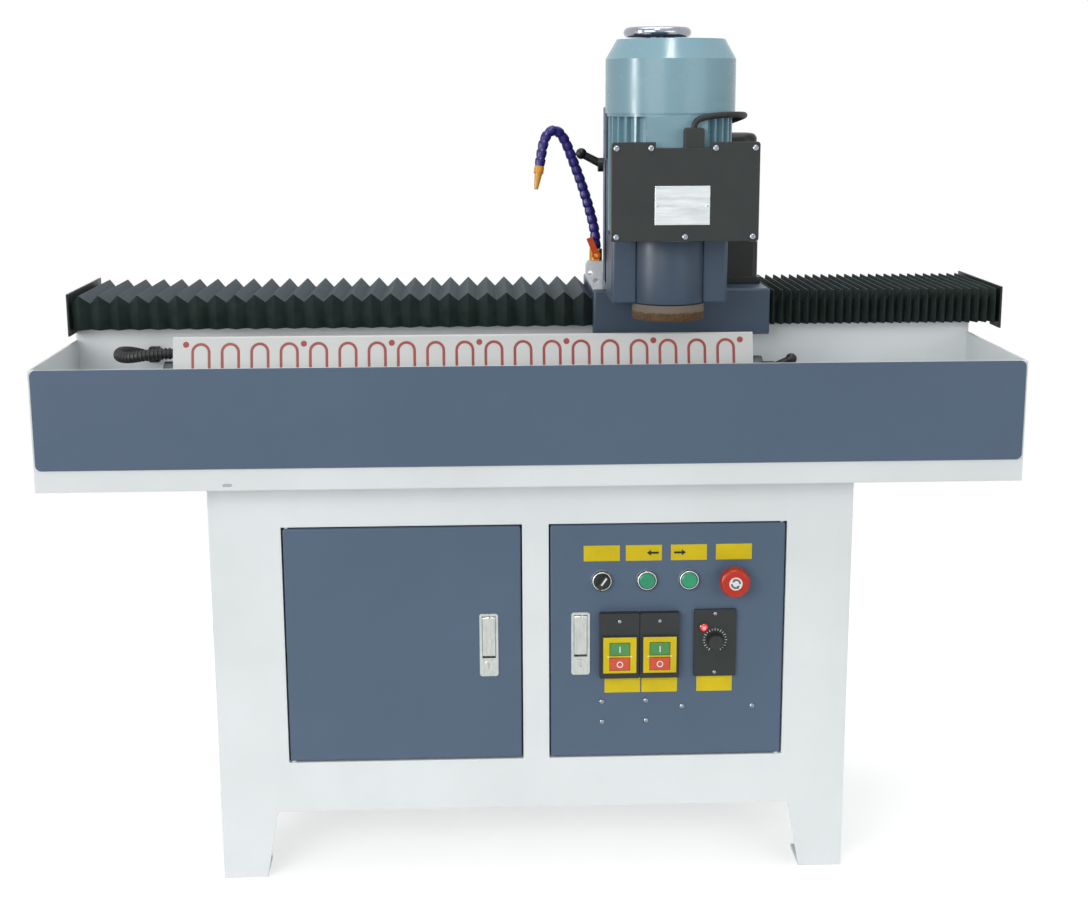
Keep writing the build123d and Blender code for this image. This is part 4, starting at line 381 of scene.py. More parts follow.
# Each recipe is called with the user's colours and the finish's name
RECIPES = {
    "white_paint": painted("white_paint", gloss=0.34, peel=0.1, wear=0.0),
    "grey_paint": painted("grey_paint", gloss=0.42, peel=0.22, wear=0.5),
    # Grey paint darkened for the castings: a darker paint, and painted shade as under the cover and the
    # motor
    "casting_paint": painted("grey_paint", gloss=0.42, peel=0.22, wear=0.5, factor=0.68),
    "motor_paint": painted("motor_paint", gloss=0.24, peel=0.08, wear=0.35),
    "dark_paint": painted(tone(26, 31, 30), gloss=0.4, peel=0.15, wear=0.5),
    "handle_orange": painted("valve_orange", gloss=0.35, peel=0.1, wear=0.5),
    "chuck_steel": painted(tone(206, 208, 206), gloss=0.34, peel=0.05, wear=0.0),
    "ground_steel": metal(tone(188, 190, 190), rough=0.28, grain=LONG_X),
    "zinc_steel": metal(tone(190, 194, 198), rough=0.4, grain=LONG_Y, lines=0.08),
    "bright_chrome": metal(tone(190, 194, 191), rough=0.3, grain=UPRIGHT, lines=0.05),
    "wheel_chrome": metal(tone(158, 163, 172), rough=0.14, grain=UPRIGHT, lines=0.05),
    "plate_silver": metal(tone(194, 199, 200), rough=0.46, grain=SHORT_X, lines=0.03),
    "screw_zinc": metal(tone(146, 153, 160), rough=0.36),
    "bronze": metal(tone(176, 134, 74), rough=0.3),
    "valve_brass": metal(tone(222, 160, 62), rough=0.34),
    "black_steel": metal(tone(70, 74, 74), rough=0.44),
    "tag_yellow": plastic("tag_yellow", rough=0.4, grain=0.05),
    "plug_resin": plastic("pole_resin", rough=0.5, grain=0.05, factor=0.95),
    "pole_resin": plastic("pole_resin", rough=0.35, grain=0.03),
    "hose_navy": plastic("hose_navy", rough=0.32, grain=0.05),
    "nozzle_orange": plastic("nozzle_orange", rough=0.35, grain=0.05),
    "green_plastic": plastic("start_green", rough=0.3, grain=0.04),
    "red_plastic": plastic("stop_red", rough=0.3, grain=0.04),
    "switch_green": plastic(tone(80, 146, 84), rough=0.3, grain=0.04),
    "switch_red": plastic(tone(214, 86, 62), rough=0.3, grain=0.04),
    "black_rubber": plastic(tone(30, 31, 32), rough=0.55, grain=0.08),
    "black_plastic": plastic(tone(39, 44, 43), rough=0.45, grain=0.16),
    "mark_white": plastic(tone(232, 234, 232), rough=0.4, grain=0.03),
    "mark_grey": plastic(tone(104, 106, 108), rough=0.4, grain=0.03),
    "mark_black": plastic(tone(26, 26, 26), rough=0.4, grain=0.03),
    "bellows_cloth": cover_cloth,
    "abrasive": wheel_grit,
}


# Sizes and colours that a user may change


class GrinderColours(bpy.types.PropertyGroup):
    """Paint, plastic and resin colours of the machine."""

    white_paint: FloatVectorProperty(
        name="White paint",
        description="Cabinet, tray and bed",
        subtype="COLOR",
        default=tone(232, 237, 238)[:3],
    )
    grey_paint: FloatVectorProperty(
        name="Grey paint",
        description="Doors, panel, column and head",
        subtype="COLOR",
        default=tone(84, 102, 123)[:3],
    )
    motor_paint: FloatVectorProperty(
        name="Motor paint",
        description="Motor frame and fan cowl",
        subtype="COLOR",
        default=tone(138, 176, 189)[:3],
    )
    valve_orange: FloatVectorProperty(
        name="Valve orange",
        description="Handle of the coolant cock",
        subtype="COLOR",
        default=tone(215, 80, 25)[:3],
    )
    nozzle_orange: FloatVectorProperty(
        name="Nozzle orange",
        description="Nozzle of the coolant hose",
        subtype="COLOR",
        default=tone(235, 165, 50)[:3],
    )
    hose_navy: FloatVectorProperty(
        name="Hose navy",
        description="Sockets of the coolant hose",
        subtype="COLOR",
        default=tone(42, 32, 118)[:3],
    )
    tag_yellow: FloatVectorProperty(
        name="Tag yellow",
        description="Tags and switch frames",
        subtype="COLOR",
        default=tone(214, 190, 10)[:3],
    )
    start_green: FloatVectorProperty(
        name="Start green",
        description="Start and traverse buttons",
        subtype="COLOR",
        default=tone(50, 152, 112)[:3],
    )
    stop_red: FloatVectorProperty(
        name="Stop red",
        description="Stop buttons and emergency stop",
        subtype="COLOR",
        default=tone(190, 46, 24)[:3],
    )
    pole_resin: FloatVectorProperty(
        name="Pole resin",
        description="Meander lines on the chuck",
        subtype="COLOR",
        default=tone(160, 74, 68)[:3],
    )
    abrasive_brown: FloatVectorProperty(
        name="Abrasive brown",
        description="Grinding wheel",
        subtype="COLOR",
        default=tone(110, 80, 48)[:3],
    )


class GrinderSizes(bpy.types.PropertyGroup):
    """Sizes of the fine pieces."""

    edge_round: FloatProperty(
        name="Edge rounding",
        description="Rounding of sheet and casting edges",
        unit="LENGTH",
        default=0.0008,
    )
    pleats: IntProperty(name="Pleats", description="Folds in each bellows", default=27, min=4)
    cloth: FloatProperty(
        name="Cloth",
        description="Thickness of the bellows",
        unit="LENGTH",
        default=0.0012,
    )
    cover_screw: FloatProperty(
        name="Cover screw",
        description="Head radius of the terminal cover's screws",
        unit="LENGTH",
        default=0.0042,
    )
    panel_screw: FloatProperty(
        name="Panel screw",
        description="Head radius of the door's screws",
        unit="LENGTH",
        default=0.0036,
    )
    chuck_plug: FloatProperty(
        name="Chuck plug",
        description="Radius of the resin plugs in the chuck's face",
        unit="LENGTH",
        default=0.0042,
    )
    tag_width: FloatProperty(
        name="Tag width",
        description="Width of the yellow tags",
        unit="LENGTH",
        default=0.0505,
    )
    tag_height: FloatProperty(
        name="Tag height",
        description="Height of the yellow tags",
        unit="LENGTH",
        default=0.0225,
    )
    lamp: FloatProperty(
        name="Lamp",
        description="Radius of the speed controller's lamp",
        unit="LENGTH",
        default=0.0058,
    )


# Shapes


FRONT = (0.0, -1.0, 0.0)
# Points of a shape that lie closer than this are one point
MERGE = 1e-6
# Angles, in degrees, above which an edge shows as an edge
PIECE_EDGE, CLOTH_EDGE, TUBE_EDGE = 35.0, 25.0, 50.0
# Flats round the turned shapes
SCREW_STEPS, PLUG_STEPS, MARK_STEPS, DEVICE_STEPS, TUBE_STEPS = 24, 28, 32, 48, 20
# A screw's head from its driver recess to its rim, in shares of its radius and its height
SCREW_PROFILE = (
    (0.0, 0.45),
    (0.42, 0.45),
    (0.5, 0.95),
    (0.62, 1.0),
    (0.85, 0.8),
    (1.0, 0.35),
    (1.0, 0.0),
    (0.0, 0.0),
)


def block_shape(width, depth, height, edge):
    """A block round the origin with its edges broken."""
    shape = bmesh.new()
    bmesh.ops.create_cube(shape, size=1.0, matrix=Matrix.Diagonal((width, depth, height, 1.0)))
    bmesh.ops.bevel(
        shape,
        geom=shape.edges[:],
        offset=edge,
        offset_type="OFFSET",
        affect="EDGES",
        segments=1,
        profile=0.5,
        material=-1,
        clamp_overlap=True,
    )
    return shape


def turned_shape(profile, steps):
    """A shape turned about Z from points of (radius, height)."""
    shape = bmesh.new()
    points = [shape.verts.new((radius, 0.0, height)) for radius, height in profile]
    runs = [shape.edges.new(pair) for pair in zip(points, points[1:])]
    bmesh.ops.spin(
        shape,
        geom=points + runs,
        cent=(0, 0, 0),
        axis=(0, 0, 1),
        angle=2 * pi,
        steps=steps,
        use_merge=True,
    )
    bmesh.ops.remove_doubles(shape, verts=shape.verts[:], dist=MERGE)
    bmesh.ops.recalc_face_normals(shape, faces=shape.faces[:])
    return shape


def scaled(profile, radius, height):
    """A profile given in shares, at a radius and a height."""
    return [(across * radius, up * height) for across, up in profile]


def screw_shape(radius, height):
    """A pan-head screw on the origin: a domed head with a round driver recess, along +Z."""
    return turned_shape(scaled(SCREW_PROFILE, radius, height), SCREW_STEPS)


def fresh_points(made):
    """The points among what an operator drew out."""
    return [item for item in made["geom"] if isinstance(item, bmesh.types.BMVert)]


def plate_shape(outline, front, thickness):
    """A thin plate cut to an outline of (x, z), with its face at a front depth."""
    shape = bmesh.new()
    face = shape.faces.new([shape.verts.new((x, front, z)) for x, z in outline])
    back = fresh_points(bmesh.ops.extrude_face_region(shape, geom=[face]))
    bmesh.ops.translate(shape, vec=(0, thickness, 0), verts=back)
    bmesh.ops.recalc_face_normals(shape, faces=shape.faces[:])
    return shape


def facing(place, direction):
    """The placement that turns +Z to a direction, at a point."""
    turn = Vector(direction).to_track_quat("Z", "Y").to_matrix().to_4x4()
    return Matrix.Translation(Vector(place)) @ turn


def as_mesh(name, shape):
    """A shape turned into a mesh, and let go."""
    mesh = bpy.data.meshes.new(name)
    shape.to_mesh(mesh)
    shape.free()
    return mesh


def repeated(pattern, places):
    """Copies of one shape at several placements, as one shape."""
    mesh = as_mesh("pattern", pattern)
    whole = bmesh.new()
    for place in places:
        before = len(whole.verts)
        whole.from_mesh(mesh)
        whole.verts.ensure_lookup_table()
        bmesh.ops.transform(whole, matrix=place, verts=whole.verts[before:])
    bpy.data.meshes.remove(mesh)
    return whole


def joined(*shapes):
    """Several shapes as one."""
    whole = bmesh.new()
    for shape in shapes:
        mesh = as_mesh("part", shape)
        whole.from_mesh(mesh)
        bpy.data.meshes.remove(mesh)
    return whole


def moved(shape, place):
    """A shape at a placement."""
    bmesh.ops.transform(shape, matrix=place, verts=shape.verts[:])
    return shape


def link_piece(name, mesh, finish_name, sharp=PIECE_EDGE):
    """A new object at the origin with a finish, smooth up to a sharp angle."""
    mesh.shade_smooth()
    mesh.set_sharp_from_angle(angle=radians(sharp))
    mesh.materials.append(finish(finish_name))
    piece = bpy.data.objects.new(name, mesh)
    bpy.context.scene.collection.objects.link(piece)
    return piece


def make_piece(name, shape, body, finish_name):
    """A finished piece that rides on a body, from a shape already in its place."""
    bmesh.ops.recalc_face_normals(shape, faces=shape.faces[:])
    piece = link_piece(name, as_mesh(name, shape), finish_name)
    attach(piece, body)


def make_screws(name, radius, height, spots, body, finish_name):
    """Screws of one size on the front of a body, as one piece."""
    places = [facing(spot, FRONT) for spot in spots]
    make_piece(name, repeated(screw_shape(radius, height), places), body, finish_name)


def middle(node):
    """The middle of a solid's box."""
    low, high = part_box(node)
    return (low + high) / 2


def soften(node, width, clamp):
    """Rounds the edges of a carried-over solid with live modifiers, which leave its mesh alone."""
    weld = node.modifiers.new("weld", "WELD")
    weld.merge_threshold = 0.00002
    flat = node.modifiers.new("flat", "DECIMATE")
    flat.decimate_type = "DISSOLVE"
    flat.angle_limit = radians(0.5)
    bevel = node.modifiers.new("edges", "BEVEL")
    bevel.width = width
    bevel.segments = 2
    bevel.limit_method = "ANGLE"
    bevel.angle_limit = radians(40.0)
    bevel.use_clamp_overlap = clamp
    bevel.harden_normals = False


# Pieces


# Solids whose finish isn't the one that their slot is named after
OWN_FINISH = {
    # The castings take the grey paint darkened, partly as painted shade
    "head_casting": "casting_paint",
    "saddle": "casting_paint",
    "column": "casting_paint",
    "chuck_brackets": "black_steel",
    "bellows_plates": "dark_paint",
    "handwheel": "wheel_chrome",
    "wheel_start_button": "switch_green",
    "pump_start_button": "switch_green",
    "wheel_stop_button": "switch_red",
    "pump_stop_button": "switch_red",
}
# Solids with rounded edges, by how many times the edge rounding
ROUNDED = (
    (0.6, ("left_latch", "right_latch", "speed_knob", "bellows_plates")),
    (0.6, ("wheel_start_button", "wheel_stop_button", "pump_start_button", "pump_stop_button")),
    (0.8, ("chuck_body", "control_housings", "coolant_bracket", "grinding_wheel", "selector")),
    (0.9, ("gearmotor",)),
    (1.0, ("front_panel", "terminal_cover", "coolant_cock", "chuck_brackets")),
    (1.2, ("front_sheet", "rear_sheet", "side_sheets", "bed", "column", "terminal_box")),
    (1.2, ("left_latch_lever", "right_latch_lever", "cock_handle")),
    (1.5, ("tray", "saddle")),
    (2.5, ("head_casting",)),
)
SOFTENED = {name: times for times, names in ROUNDED for name in names}
# Solids with small holes, whose short edges would hold back the rounding of the long ones
FULL_ROUNDS = {"front_sheet", "tray", "bed", "head_casting", "column", "gearmotor", "chuck_body"}


class GRINDER_OT_solids(bpy.types.Operator):
    """Give every carried-over solid its finish and its softened edges"""

    bl_idname = "grinder.solids"
    bl_label = "Solids"

    def execute(self, context):
        width = context.scene.grinder_sizes.edge_round
        for name, node in NODES.items():
            node.data.materials.clear()
            node.data.materials.append(finish(OWN_FINISH.get(name, SLOT_OF[name])))
            if name in SOFTENED:
                soften(node, width * SOFTENED[name], name not in FULL_ROUNDS)
        return {"FINISHED"}


# Depth of the folds, and half the width of the flat along each crease
LEFT_FOLD, RIGHT_FOLD = 0.012, 0.015
CREASE = 0.0006


def fold_stations(fixed_x, moving_x, fold, pleats):
    """Places along a cover with the inset of its outline there, two to a crease."""
    step = (moving_x - fixed_x) / (2 * pleats)
    lean = CREASE if step > 0 else -CREASE
    first, last = sorted((fixed_x, moving_x))
    stations = []
    for turn in range(2 * pleats + 1):
        inset = 0.0 if turn % 2 else fold
        for offset in (-lean, lean):
            place = fixed_x + turn * step + offset
            stations.append((min(max(place, first), last), inset))
    return stations


def pleated_cover(name, node, fixed_x, moving_x, fold, sizes):
    """An arch of folded cloth from its fixed end to the carriage, drawn out fold by fold."""
    low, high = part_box(node)

    def outline(inset):
        """The arch's four corners, drawn in by the depth of a fold."""
        front, rear, top = low.y + inset, high.y - inset, high.z - inset
        return ((front, low.z), (front, top), (rear, top), (rear, low.z))

    (x, inset), *stations = fold_stations(fixed_x, moving_x, fold, sizes.pleats)
    shape = bmesh.new()
    corners = [shape.verts.new((x, y, z)) for y, z in outline(inset)]
    runs = [shape.edges.new(pair) for pair in zip(corners, corners[1:])]
    for x, inset in stations:
        fresh = fresh_points(bmesh.ops.extrude_edge_only(shape, edges=runs))
        corners = [min(fresh, key=lambda vert: (vert.co - old.co).length) for old in corners]
        for vert, (y, z) in zip(corners, outline(inset)):
            vert.co = (x, y, z)
        runs = [shape.edges.get(pair) for pair in zip(corners, corners[1:])]
    bmesh.ops.remove_doubles(shape, verts=shape.verts[:], dist=MERGE)
    bmesh.ops.recalc_face_normals(shape, faces=shape.faces[:])
    mesh = as_mesh(name, shape)
    cover = link_piece(name, mesh, "bellows_cloth", CLOTH_EDGE)
    wall = cover.modifiers.new("cloth", "SOLIDIFY")
    wall.thickness = sizes.cloth
    wall.offset = -1.0
    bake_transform(cover, "base", "carriage", start=(fixed_x, 0, 0), end=(moving_x, 0, 0))
    # Even weights, so that all folds open by the same amount
    even = [(vert.co.x - fixed_x) / (moving_x - fixed_x) for vert in mesh.vertices]
    mesh.attributes["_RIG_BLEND"].data.foreach_set("value", even)
    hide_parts(node)


class GRINDER_OT_bellows(bpy.types.Operator):
    """Fold the two covers over the rails, so that they stretch evenly with the carriage"""

    bl_idname = "grinder.bellows"
    bl_label = "Bellows"

    def execute(self, context):
        sizes = context.scene.grinder_sizes
        left_low, left_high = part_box("bellows_left")
        right_low, right_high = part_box("bellows_right")
        pleated_cover("left_cover", "bellows_left", left_low.x, left_high.x, LEFT_FOLD, sizes)
        pleated_cover("right_cover", "bellows_right", right_high.x, right_low.x, RIGHT_FOLD, sizes)
        return {"FINISHED"}


def smooth_route(name, points):
    """A smooth line along a cord's route, with the route's points as its control points."""
    line = bpy.data.curves.new(name, "CURVE")
    line.dimensions = "3D"
    line.resolution_u = 12
    spline = line.splines.new("NURBS")
    spline.points.add(len(points) - 1)
    for knot, point in zip(spline.points, points):
        knot.co = (*point, 1.0)
    spline.order_u = 3
    spline.use_endpoint_u = True
    route = bpy.data.objects.new(name, line)
    bpy.context.scene.collection.objects.link(route)
    return route


def route_points(route):
    """Points along a smooth line, and its length."""
    bpy.context.view_layer.update()
    mesh = bpy.data.meshes.new_from_object(route)
    points = [vert.co.copy() for vert in mesh.vertices]
    bpy.data.meshes.remove(mesh)
    return points, sum((b - a).length for a, b in zip(points, points[1:]))


def bent_tube(name, route, profile, finish_name):
    """A tube turned straight along X from (place along it, radius), then bent along a line."""
    shape = turned_shape([(radius, place) for place, radius in profile], TUBE_STEPS)
    moved(shape, Matrix.Rotation(radians(90), 4, "Y"))
    bmesh.ops.recalc_face_normals(shape, faces=shape.faces[:])
    straight = as_mesh(name, shape)
    tube = bpy.data.objects.new(name + "_straight", straight)
    bpy.context.scene.collection.objects.link(tube)
    bend = tube.modifiers.new("bend", "CURVE")
    bend.object = route
    bend.deform_axis = "POS_X"
    bpy.context.view_layer.update()
    graph = bpy.context.evaluated_depsgraph_get()
    mesh = bpy.data.meshes.new_from_object(tube.evaluated_get(graph))
    bpy.data.objects.remove(tube)
    bpy.data.meshes.remove(straight)
    mesh.materials.clear()
    return link_piece(name, mesh, finish_name, TUBE_EDGE)


def ribbed_tube(name, places, pitch, rib, finish_name):
    """A tube of equal ribs along a smooth route, and points on its middle line.

    A rib is given as points of (share of its length, radius), from its waist on.
    """
    route = smooth_route(name + "_route", places)
    points, length = route_points(route)
    ribs = round(length / pitch)
    step = length / ribs
    waist = rib[0][1]
    profile = [(0.0, 0.0)]
    for place in range(ribs):
        profile.extend(((place + share) * step, radius) for share, radius in rib)
    profile += [(length, waist), (length, 0.0)]
    tube = bent_tube(name, route, profile, finish_name)
    bpy.data.objects.remove(route)
    return tube, points


CONDUIT_ROUTE = (
    (-0.508, -0.11624, 0.75098),
    (-0.538, -0.11624, 0.75098),
    (-0.573, -0.109, 0.744),
    (-0.595, -0.082, 0.742),
    (-0.599, -0.046, 0.744),
    (-0.585, -0.013, 0.738),
    (-0.565, 0.004, 0.728),
    (-0.565, 0.025, 0.728),
)
CONDUIT_CREST, CONDUIT_WAIST, CONDUIT_PITCH = 0.008, 0.0066, 0.0055
CONDUIT_RIB = (
    (0.0, CONDUIT_WAIST),
    (0.2, CONDUIT_WAIST),
    (0.35, CONDUIT_CREST),
    (0.75, CONDUIT_CREST),
    (0.9, CONDUIT_WAIST),
)


class GRINDER_OT_conduit(bpy.types.Operator):
    """Lay the corrugated conduit from the chuck's end to the bed"""

    bl_idname = "grinder.conduit"
    bl_label = "Chuck conduit"

    def execute(self, context):
        conduit, points = ribbed_tube(
            "conduit", CONDUIT_ROUTE, CONDUIT_PITCH, CONDUIT_RIB, "black_rubber"
        )
        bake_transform(conduit, "base", "chuck", start=CONDUIT_ROUTE[3], end=CONDUIT_ROUTE[0])
        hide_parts("chuck_conduit")
        return {"FINISHED"}


HOSE_ROUTE = (
    (0.082, -0.009, 0.8824),
    (0.082, -0.009, 0.9024),
    (0.073, -0.009, 0.938),
    (0.061, -0.009, 0.976),
    (0.048, -0.010, 1.010),
    (0.039, -0.012, 1.033),
    (0.031, -0.015, 1.046),
    (0.022, -0.019, 1.051),
    (0.013, -0.023, 1.047),
    (0.007, -0.027, 1.036),
    (0.003, -0.032, 1.018),
    (0.000, -0.037, 1.000),
)
HOSE_CREST, HOSE_WAIST, HOSE_PITCH = 0.0075, 0.0062, 0.012
# One ball socket, from its waist over its mouth to its neck
HOSE_SOCKET = (
    (0.0, HOSE_WAIST),
    (0.08, 0.0070),
    (0.16, HOSE_CREST),
    (0.45, 0.0074),
    (0.7, 0.0070),
    (0.92, HOSE_WAIST),
)


class GRINDER_OT_coolant_hose(bpy.types.Operator):
    """String the coolant hose's ball sockets along its arch"""

    bl_idname = "grinder.coolant_hose"
    bl_label = "Coolant hose"

    def execute(self, context):
        hose, points = ribbed_tube("hose", HOSE_ROUTE, HOSE_PITCH, HOSE_SOCKET, "hose_navy")
        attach(hose, "hose")
        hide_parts("coolant_hose")
        return {"FINISHED"}


CABLE_ROUTE = (
    (0.196, -0.2155, 1.057),
    (0.196, -0.2155, 1.066),
    (0.216, -0.212, 1.072),
    (0.246, -0.203, 1.0735),
    (0.268, -0.176, 1.073),
    (0.274, -0.138, 1.071),
    (0.271, -0.104, 1.067),
    (0.262, -0.072, 1.062),
    (0.251, -0.052, 1.058),
    (0.251, -0.031, 1.058),
)
CABLE_RADIUS = 0.004


class GRINDER_OT_motor_cable(bpy.types.Operator):
    """Run the motor cable from the terminal box round the motor to the slide"""

    bl_idname = "grinder.motor_cable"
    bl_label = "Motor cable"

    def execute(self, context):
        cable = smooth_route("cable", CABLE_ROUTE)
        cable.data.bevel_depth = CABLE_RADIUS
        cable.data.bevel_resolution = 6
        cable.data.use_fill_caps = True
        cable.data.materials.append(finish("black_rubber"))
        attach(cable, "head")
        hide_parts("motor_cable")
        return {"FINISHED"}


COVER_LOW, COVER_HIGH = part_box("terminal_cover")
# Screws along the cover's upper and lower edges, in shares of its width
UPPER_SCREWS = (0.033, 0.265, 0.70, 0.967)
LOWER_SCREWS = (0.033, 0.5, 0.959)
SCREW_INSET = 0.008
COVER_SCREW_RISE = 0.0028
PLATE_WIDTH, PLATE_HEIGHT, PLATE_THICK, PLATE_EDGE = 0.0727, 0.0508, 0.0008, 0.0003
PLATE_X, PLATE_Z = 0.1805, 0.957
STUD_RADIUS, STUD_RISE, STUD_INSET = 0.0016, 0.0009, 0.0035


class GRINDER_OT_head_fittings(bpy.types.Operator):
    """Set the screws and the bare plate on the head's dark cover"""

    bl_idname = "grinder.head_fittings"
    bl_label = "Head fittings"

    def execute(self, context):
        radius = context.scene.grinder_sizes.cover_screw
        left, front, width = COVER_LOW.x, COVER_LOW.y, COVER_HIGH.x - COVER_LOW.x
        spots = []
        for shares, z in (
            (UPPER_SCREWS, COVER_HIGH.z - SCREW_INSET),
            (LOWER_SCREWS, COVER_LOW.z + SCREW_INSET),
        ):
            spots += [(left + share * width, front, z) for share in shares]
        make_screws("cover_screws", radius, COVER_SCREW_RISE, spots, "head", "screw_zinc")
        plate = block_shape(PLATE_WIDTH, PLATE_THICK, PLATE_HEIGHT, PLATE_EDGE)
        moved(plate, Matrix.Translation((PLATE_X, front - PLATE_THICK / 2, PLATE_Z)))
        make_piece("bare_plate", plate, "head", "plate_silver")
        aside = PLATE_WIDTH / 2 - STUD_INSET
        ends = [(PLATE_X + x, front - PLATE_THICK, PLATE_Z) for x in (-aside, aside)]
        make_screws("plate_studs", STUD_RADIUS, STUD_RISE, ends, "head", "bright_chrome")
        return {"FINISHED"}


# Loops of the chuck's pole line that hold a plug, counted from its middle
PLUG_LOOPS = (-10, -6, -3, 0, 3, 6, 9)
POLE_PITCH = 0.0402
PLUG_RISE = 0.039
PLUG_PROUD = 0.0004
PLUG_PROFILE = ((0.0, 0.6), (0.7, 1.0), (0.94, 1.0), (1.0, 0.4), (1.0, 0.0), (0.0, 0.0))


class GRINDER_OT_chuck_plugs(bpy.types.Operator):
    """Set the resin plugs over the bolts in the chuck's face"""

    bl_idname = "grinder.chuck_plugs"
    bl_label = "Chuck plugs"

    def execute(self, context):
        radius = context.scene.grinder_sizes.chuck_plug
        face = next(row for row in frame["record"]["mounts"] if row["name"] == "chuck_face")
        origin, normal = Vector(face["pos_m"]), Vector(face["axis"])
        along = Vector((1, 0, 0))
        up = normal.cross(along)
        if up.z < 0:
            up.negate()
        line = origin + up * PLUG_RISE
        spots = [line + along * (loop + 0.5) * POLE_PITCH for loop in PLUG_LOOPS]
        plug_head = turned_shape(scaled(PLUG_PROFILE, radius, PLUG_PROUD), PLUG_STEPS)
        heads = repeated(plug_head, [facing(spot, normal) for spot in spots])
        make_piece("chuck_plugs", heads, "chuck", "plug_resin")
        return {"FINISHED"}


DOOR_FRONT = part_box("right_door")[0].y
TRAY_MID = middle("tray").x
# Places of the tags to the right of the tray's middle, and above and below the buttons
UPPER_TAGS = (0.0958, 0.1545, 0.2175, 0.2805)
LOWER_TAGS = (0.1255, 0.178, 0.256)
TAG_RISE, TAG_DROP = 0.039, 0.0358
TAG_THICK, TAG_EDGE = 0.0005, 0.0002
# The travel arrows' length, and their place beside the middle of the two inner tags
ARROW_LENGTH, ARROW_ASIDE = 0.0165, 0.0125
ARROW_THICK, ARROW_PROUD = 0.0003, 0.0002
# Half an arrow's width at its shaft and its head, and where its head starts, by its length
ARROW_SHAFT, ARROW_HEAD, ARROW_NECK = 0.09, 0.26, 0.15


def travel_arrow(x, z, way):
    """An arrow on a tag that points to the right for a way of 1 and to the left for -1."""
    half = ARROW_LENGTH / 2
    neck = ARROW_NECK * ARROW_LENGTH
    shaft = ARROW_SHAFT * ARROW_LENGTH
    head = ARROW_HEAD * ARROW_LENGTH
    under = [(-half, -shaft), (neck, -shaft), (neck, -head)]
    above = [(across, -up) for across, up in reversed(under)]
    outline = [(x + way * across, z + up) for across, up in (*under, (half, 0), *above)]
    return plate_shape(outline, DOOR_FRONT - TAG_THICK - ARROW_PROUD, ARROW_THICK)


class GRINDER_OT_tags(bpy.types.Operator):
    """Stick the bare yellow tags and two travel arrows on the control door"""

    bl_idname = "grinder.tags"
    bl_label = "Tags"

    def execute(self, context):
        sizes = context.scene.grinder_sizes
        upper = middle("forward_button").z + TAG_RISE
        lower = middle("wheel_stop_button").z - TAG_DROP
        depth = DOOR_FRONT - TAG_THICK / 2
        spots = [(TRAY_MID + x, depth, upper) for x in UPPER_TAGS]
        spots += [(TRAY_MID + x, depth, lower) for x in LOWER_TAGS]
        tag = block_shape(sizes.tag_width, TAG_THICK, sizes.tag_height, TAG_EDGE)
        tags = repeated(tag, [Matrix.Translation(spot) for spot in spots])
        make_piece("tags", tags, "door_right", "tag_yellow")
        left = travel_arrow(TRAY_MID + UPPER_TAGS[1] + ARROW_ASIDE, upper, -1)
        right = travel_arrow(TRAY_MID + UPPER_TAGS[2] - ARROW_ASIDE, upper, 1)
        make_piece("travel_arrows", joined(left, right), "door_right", "mark_black")
        return {"FINISHED"}


# Widths of a switch frame's sides, foot and head, its gap round the buttons and half its seam
FRAME_SIDE, FRAME_FOOT, FRAME_HEAD, FRAME_GAP, FRAME_SEAM = 0.0086, 0.0036, 0.0074, 0.0006, 0.0012
FRAME_PROUD = 0.0005
BUTTON_PROUD = 0.002
# Pins in a frame's sides, as far outside the buttons as this share of a side
PIN_RADIUS, PIN_RISE, PIN_SHARE = 0.0013, 0.0007, 0.2
MARK_RISE, MARK_EDGE = 0.0004, 0.0001
BAR_WIDTH, BAR_HEIGHT = 0.0016, 0.009
RING_INNER, RING_OUTER = 0.0032, 0.0046
RING_PROFILE = (
    (RING_INNER, 0.0),
    (RING_INNER, MARK_RISE),
    (RING_OUTER, MARK_RISE),
    (RING_OUTER, 0.0),
    (RING_INNER, 0.0),
)


def switch_frame(left, right, bottom, seam, top, front):
    """A yellow frame round two buttons, with a bar along the seam between them."""
    outer_left, outer_right = left - FRAME_SIDE, right + FRAME_SIDE
    bars = (
        (outer_left, bottom - FRAME_FOOT, outer_right, bottom),
        (outer_left, top, outer_right, top + FRAME_HEAD),
        (outer_left, bottom, left, top),
        (right, bottom, outer_right, top),
        (left, seam - FRAME_SEAM, right, seam + FRAME_SEAM),
    )
    plates = []
    for x0, z0, x1, z1 in bars:
        outline = ((x0, z0), (x1, z0), (x1, z1), (x0, z1))
        plates.append(plate_shape(outline, front, FRAME_PROUD))
    return joined(*plates)


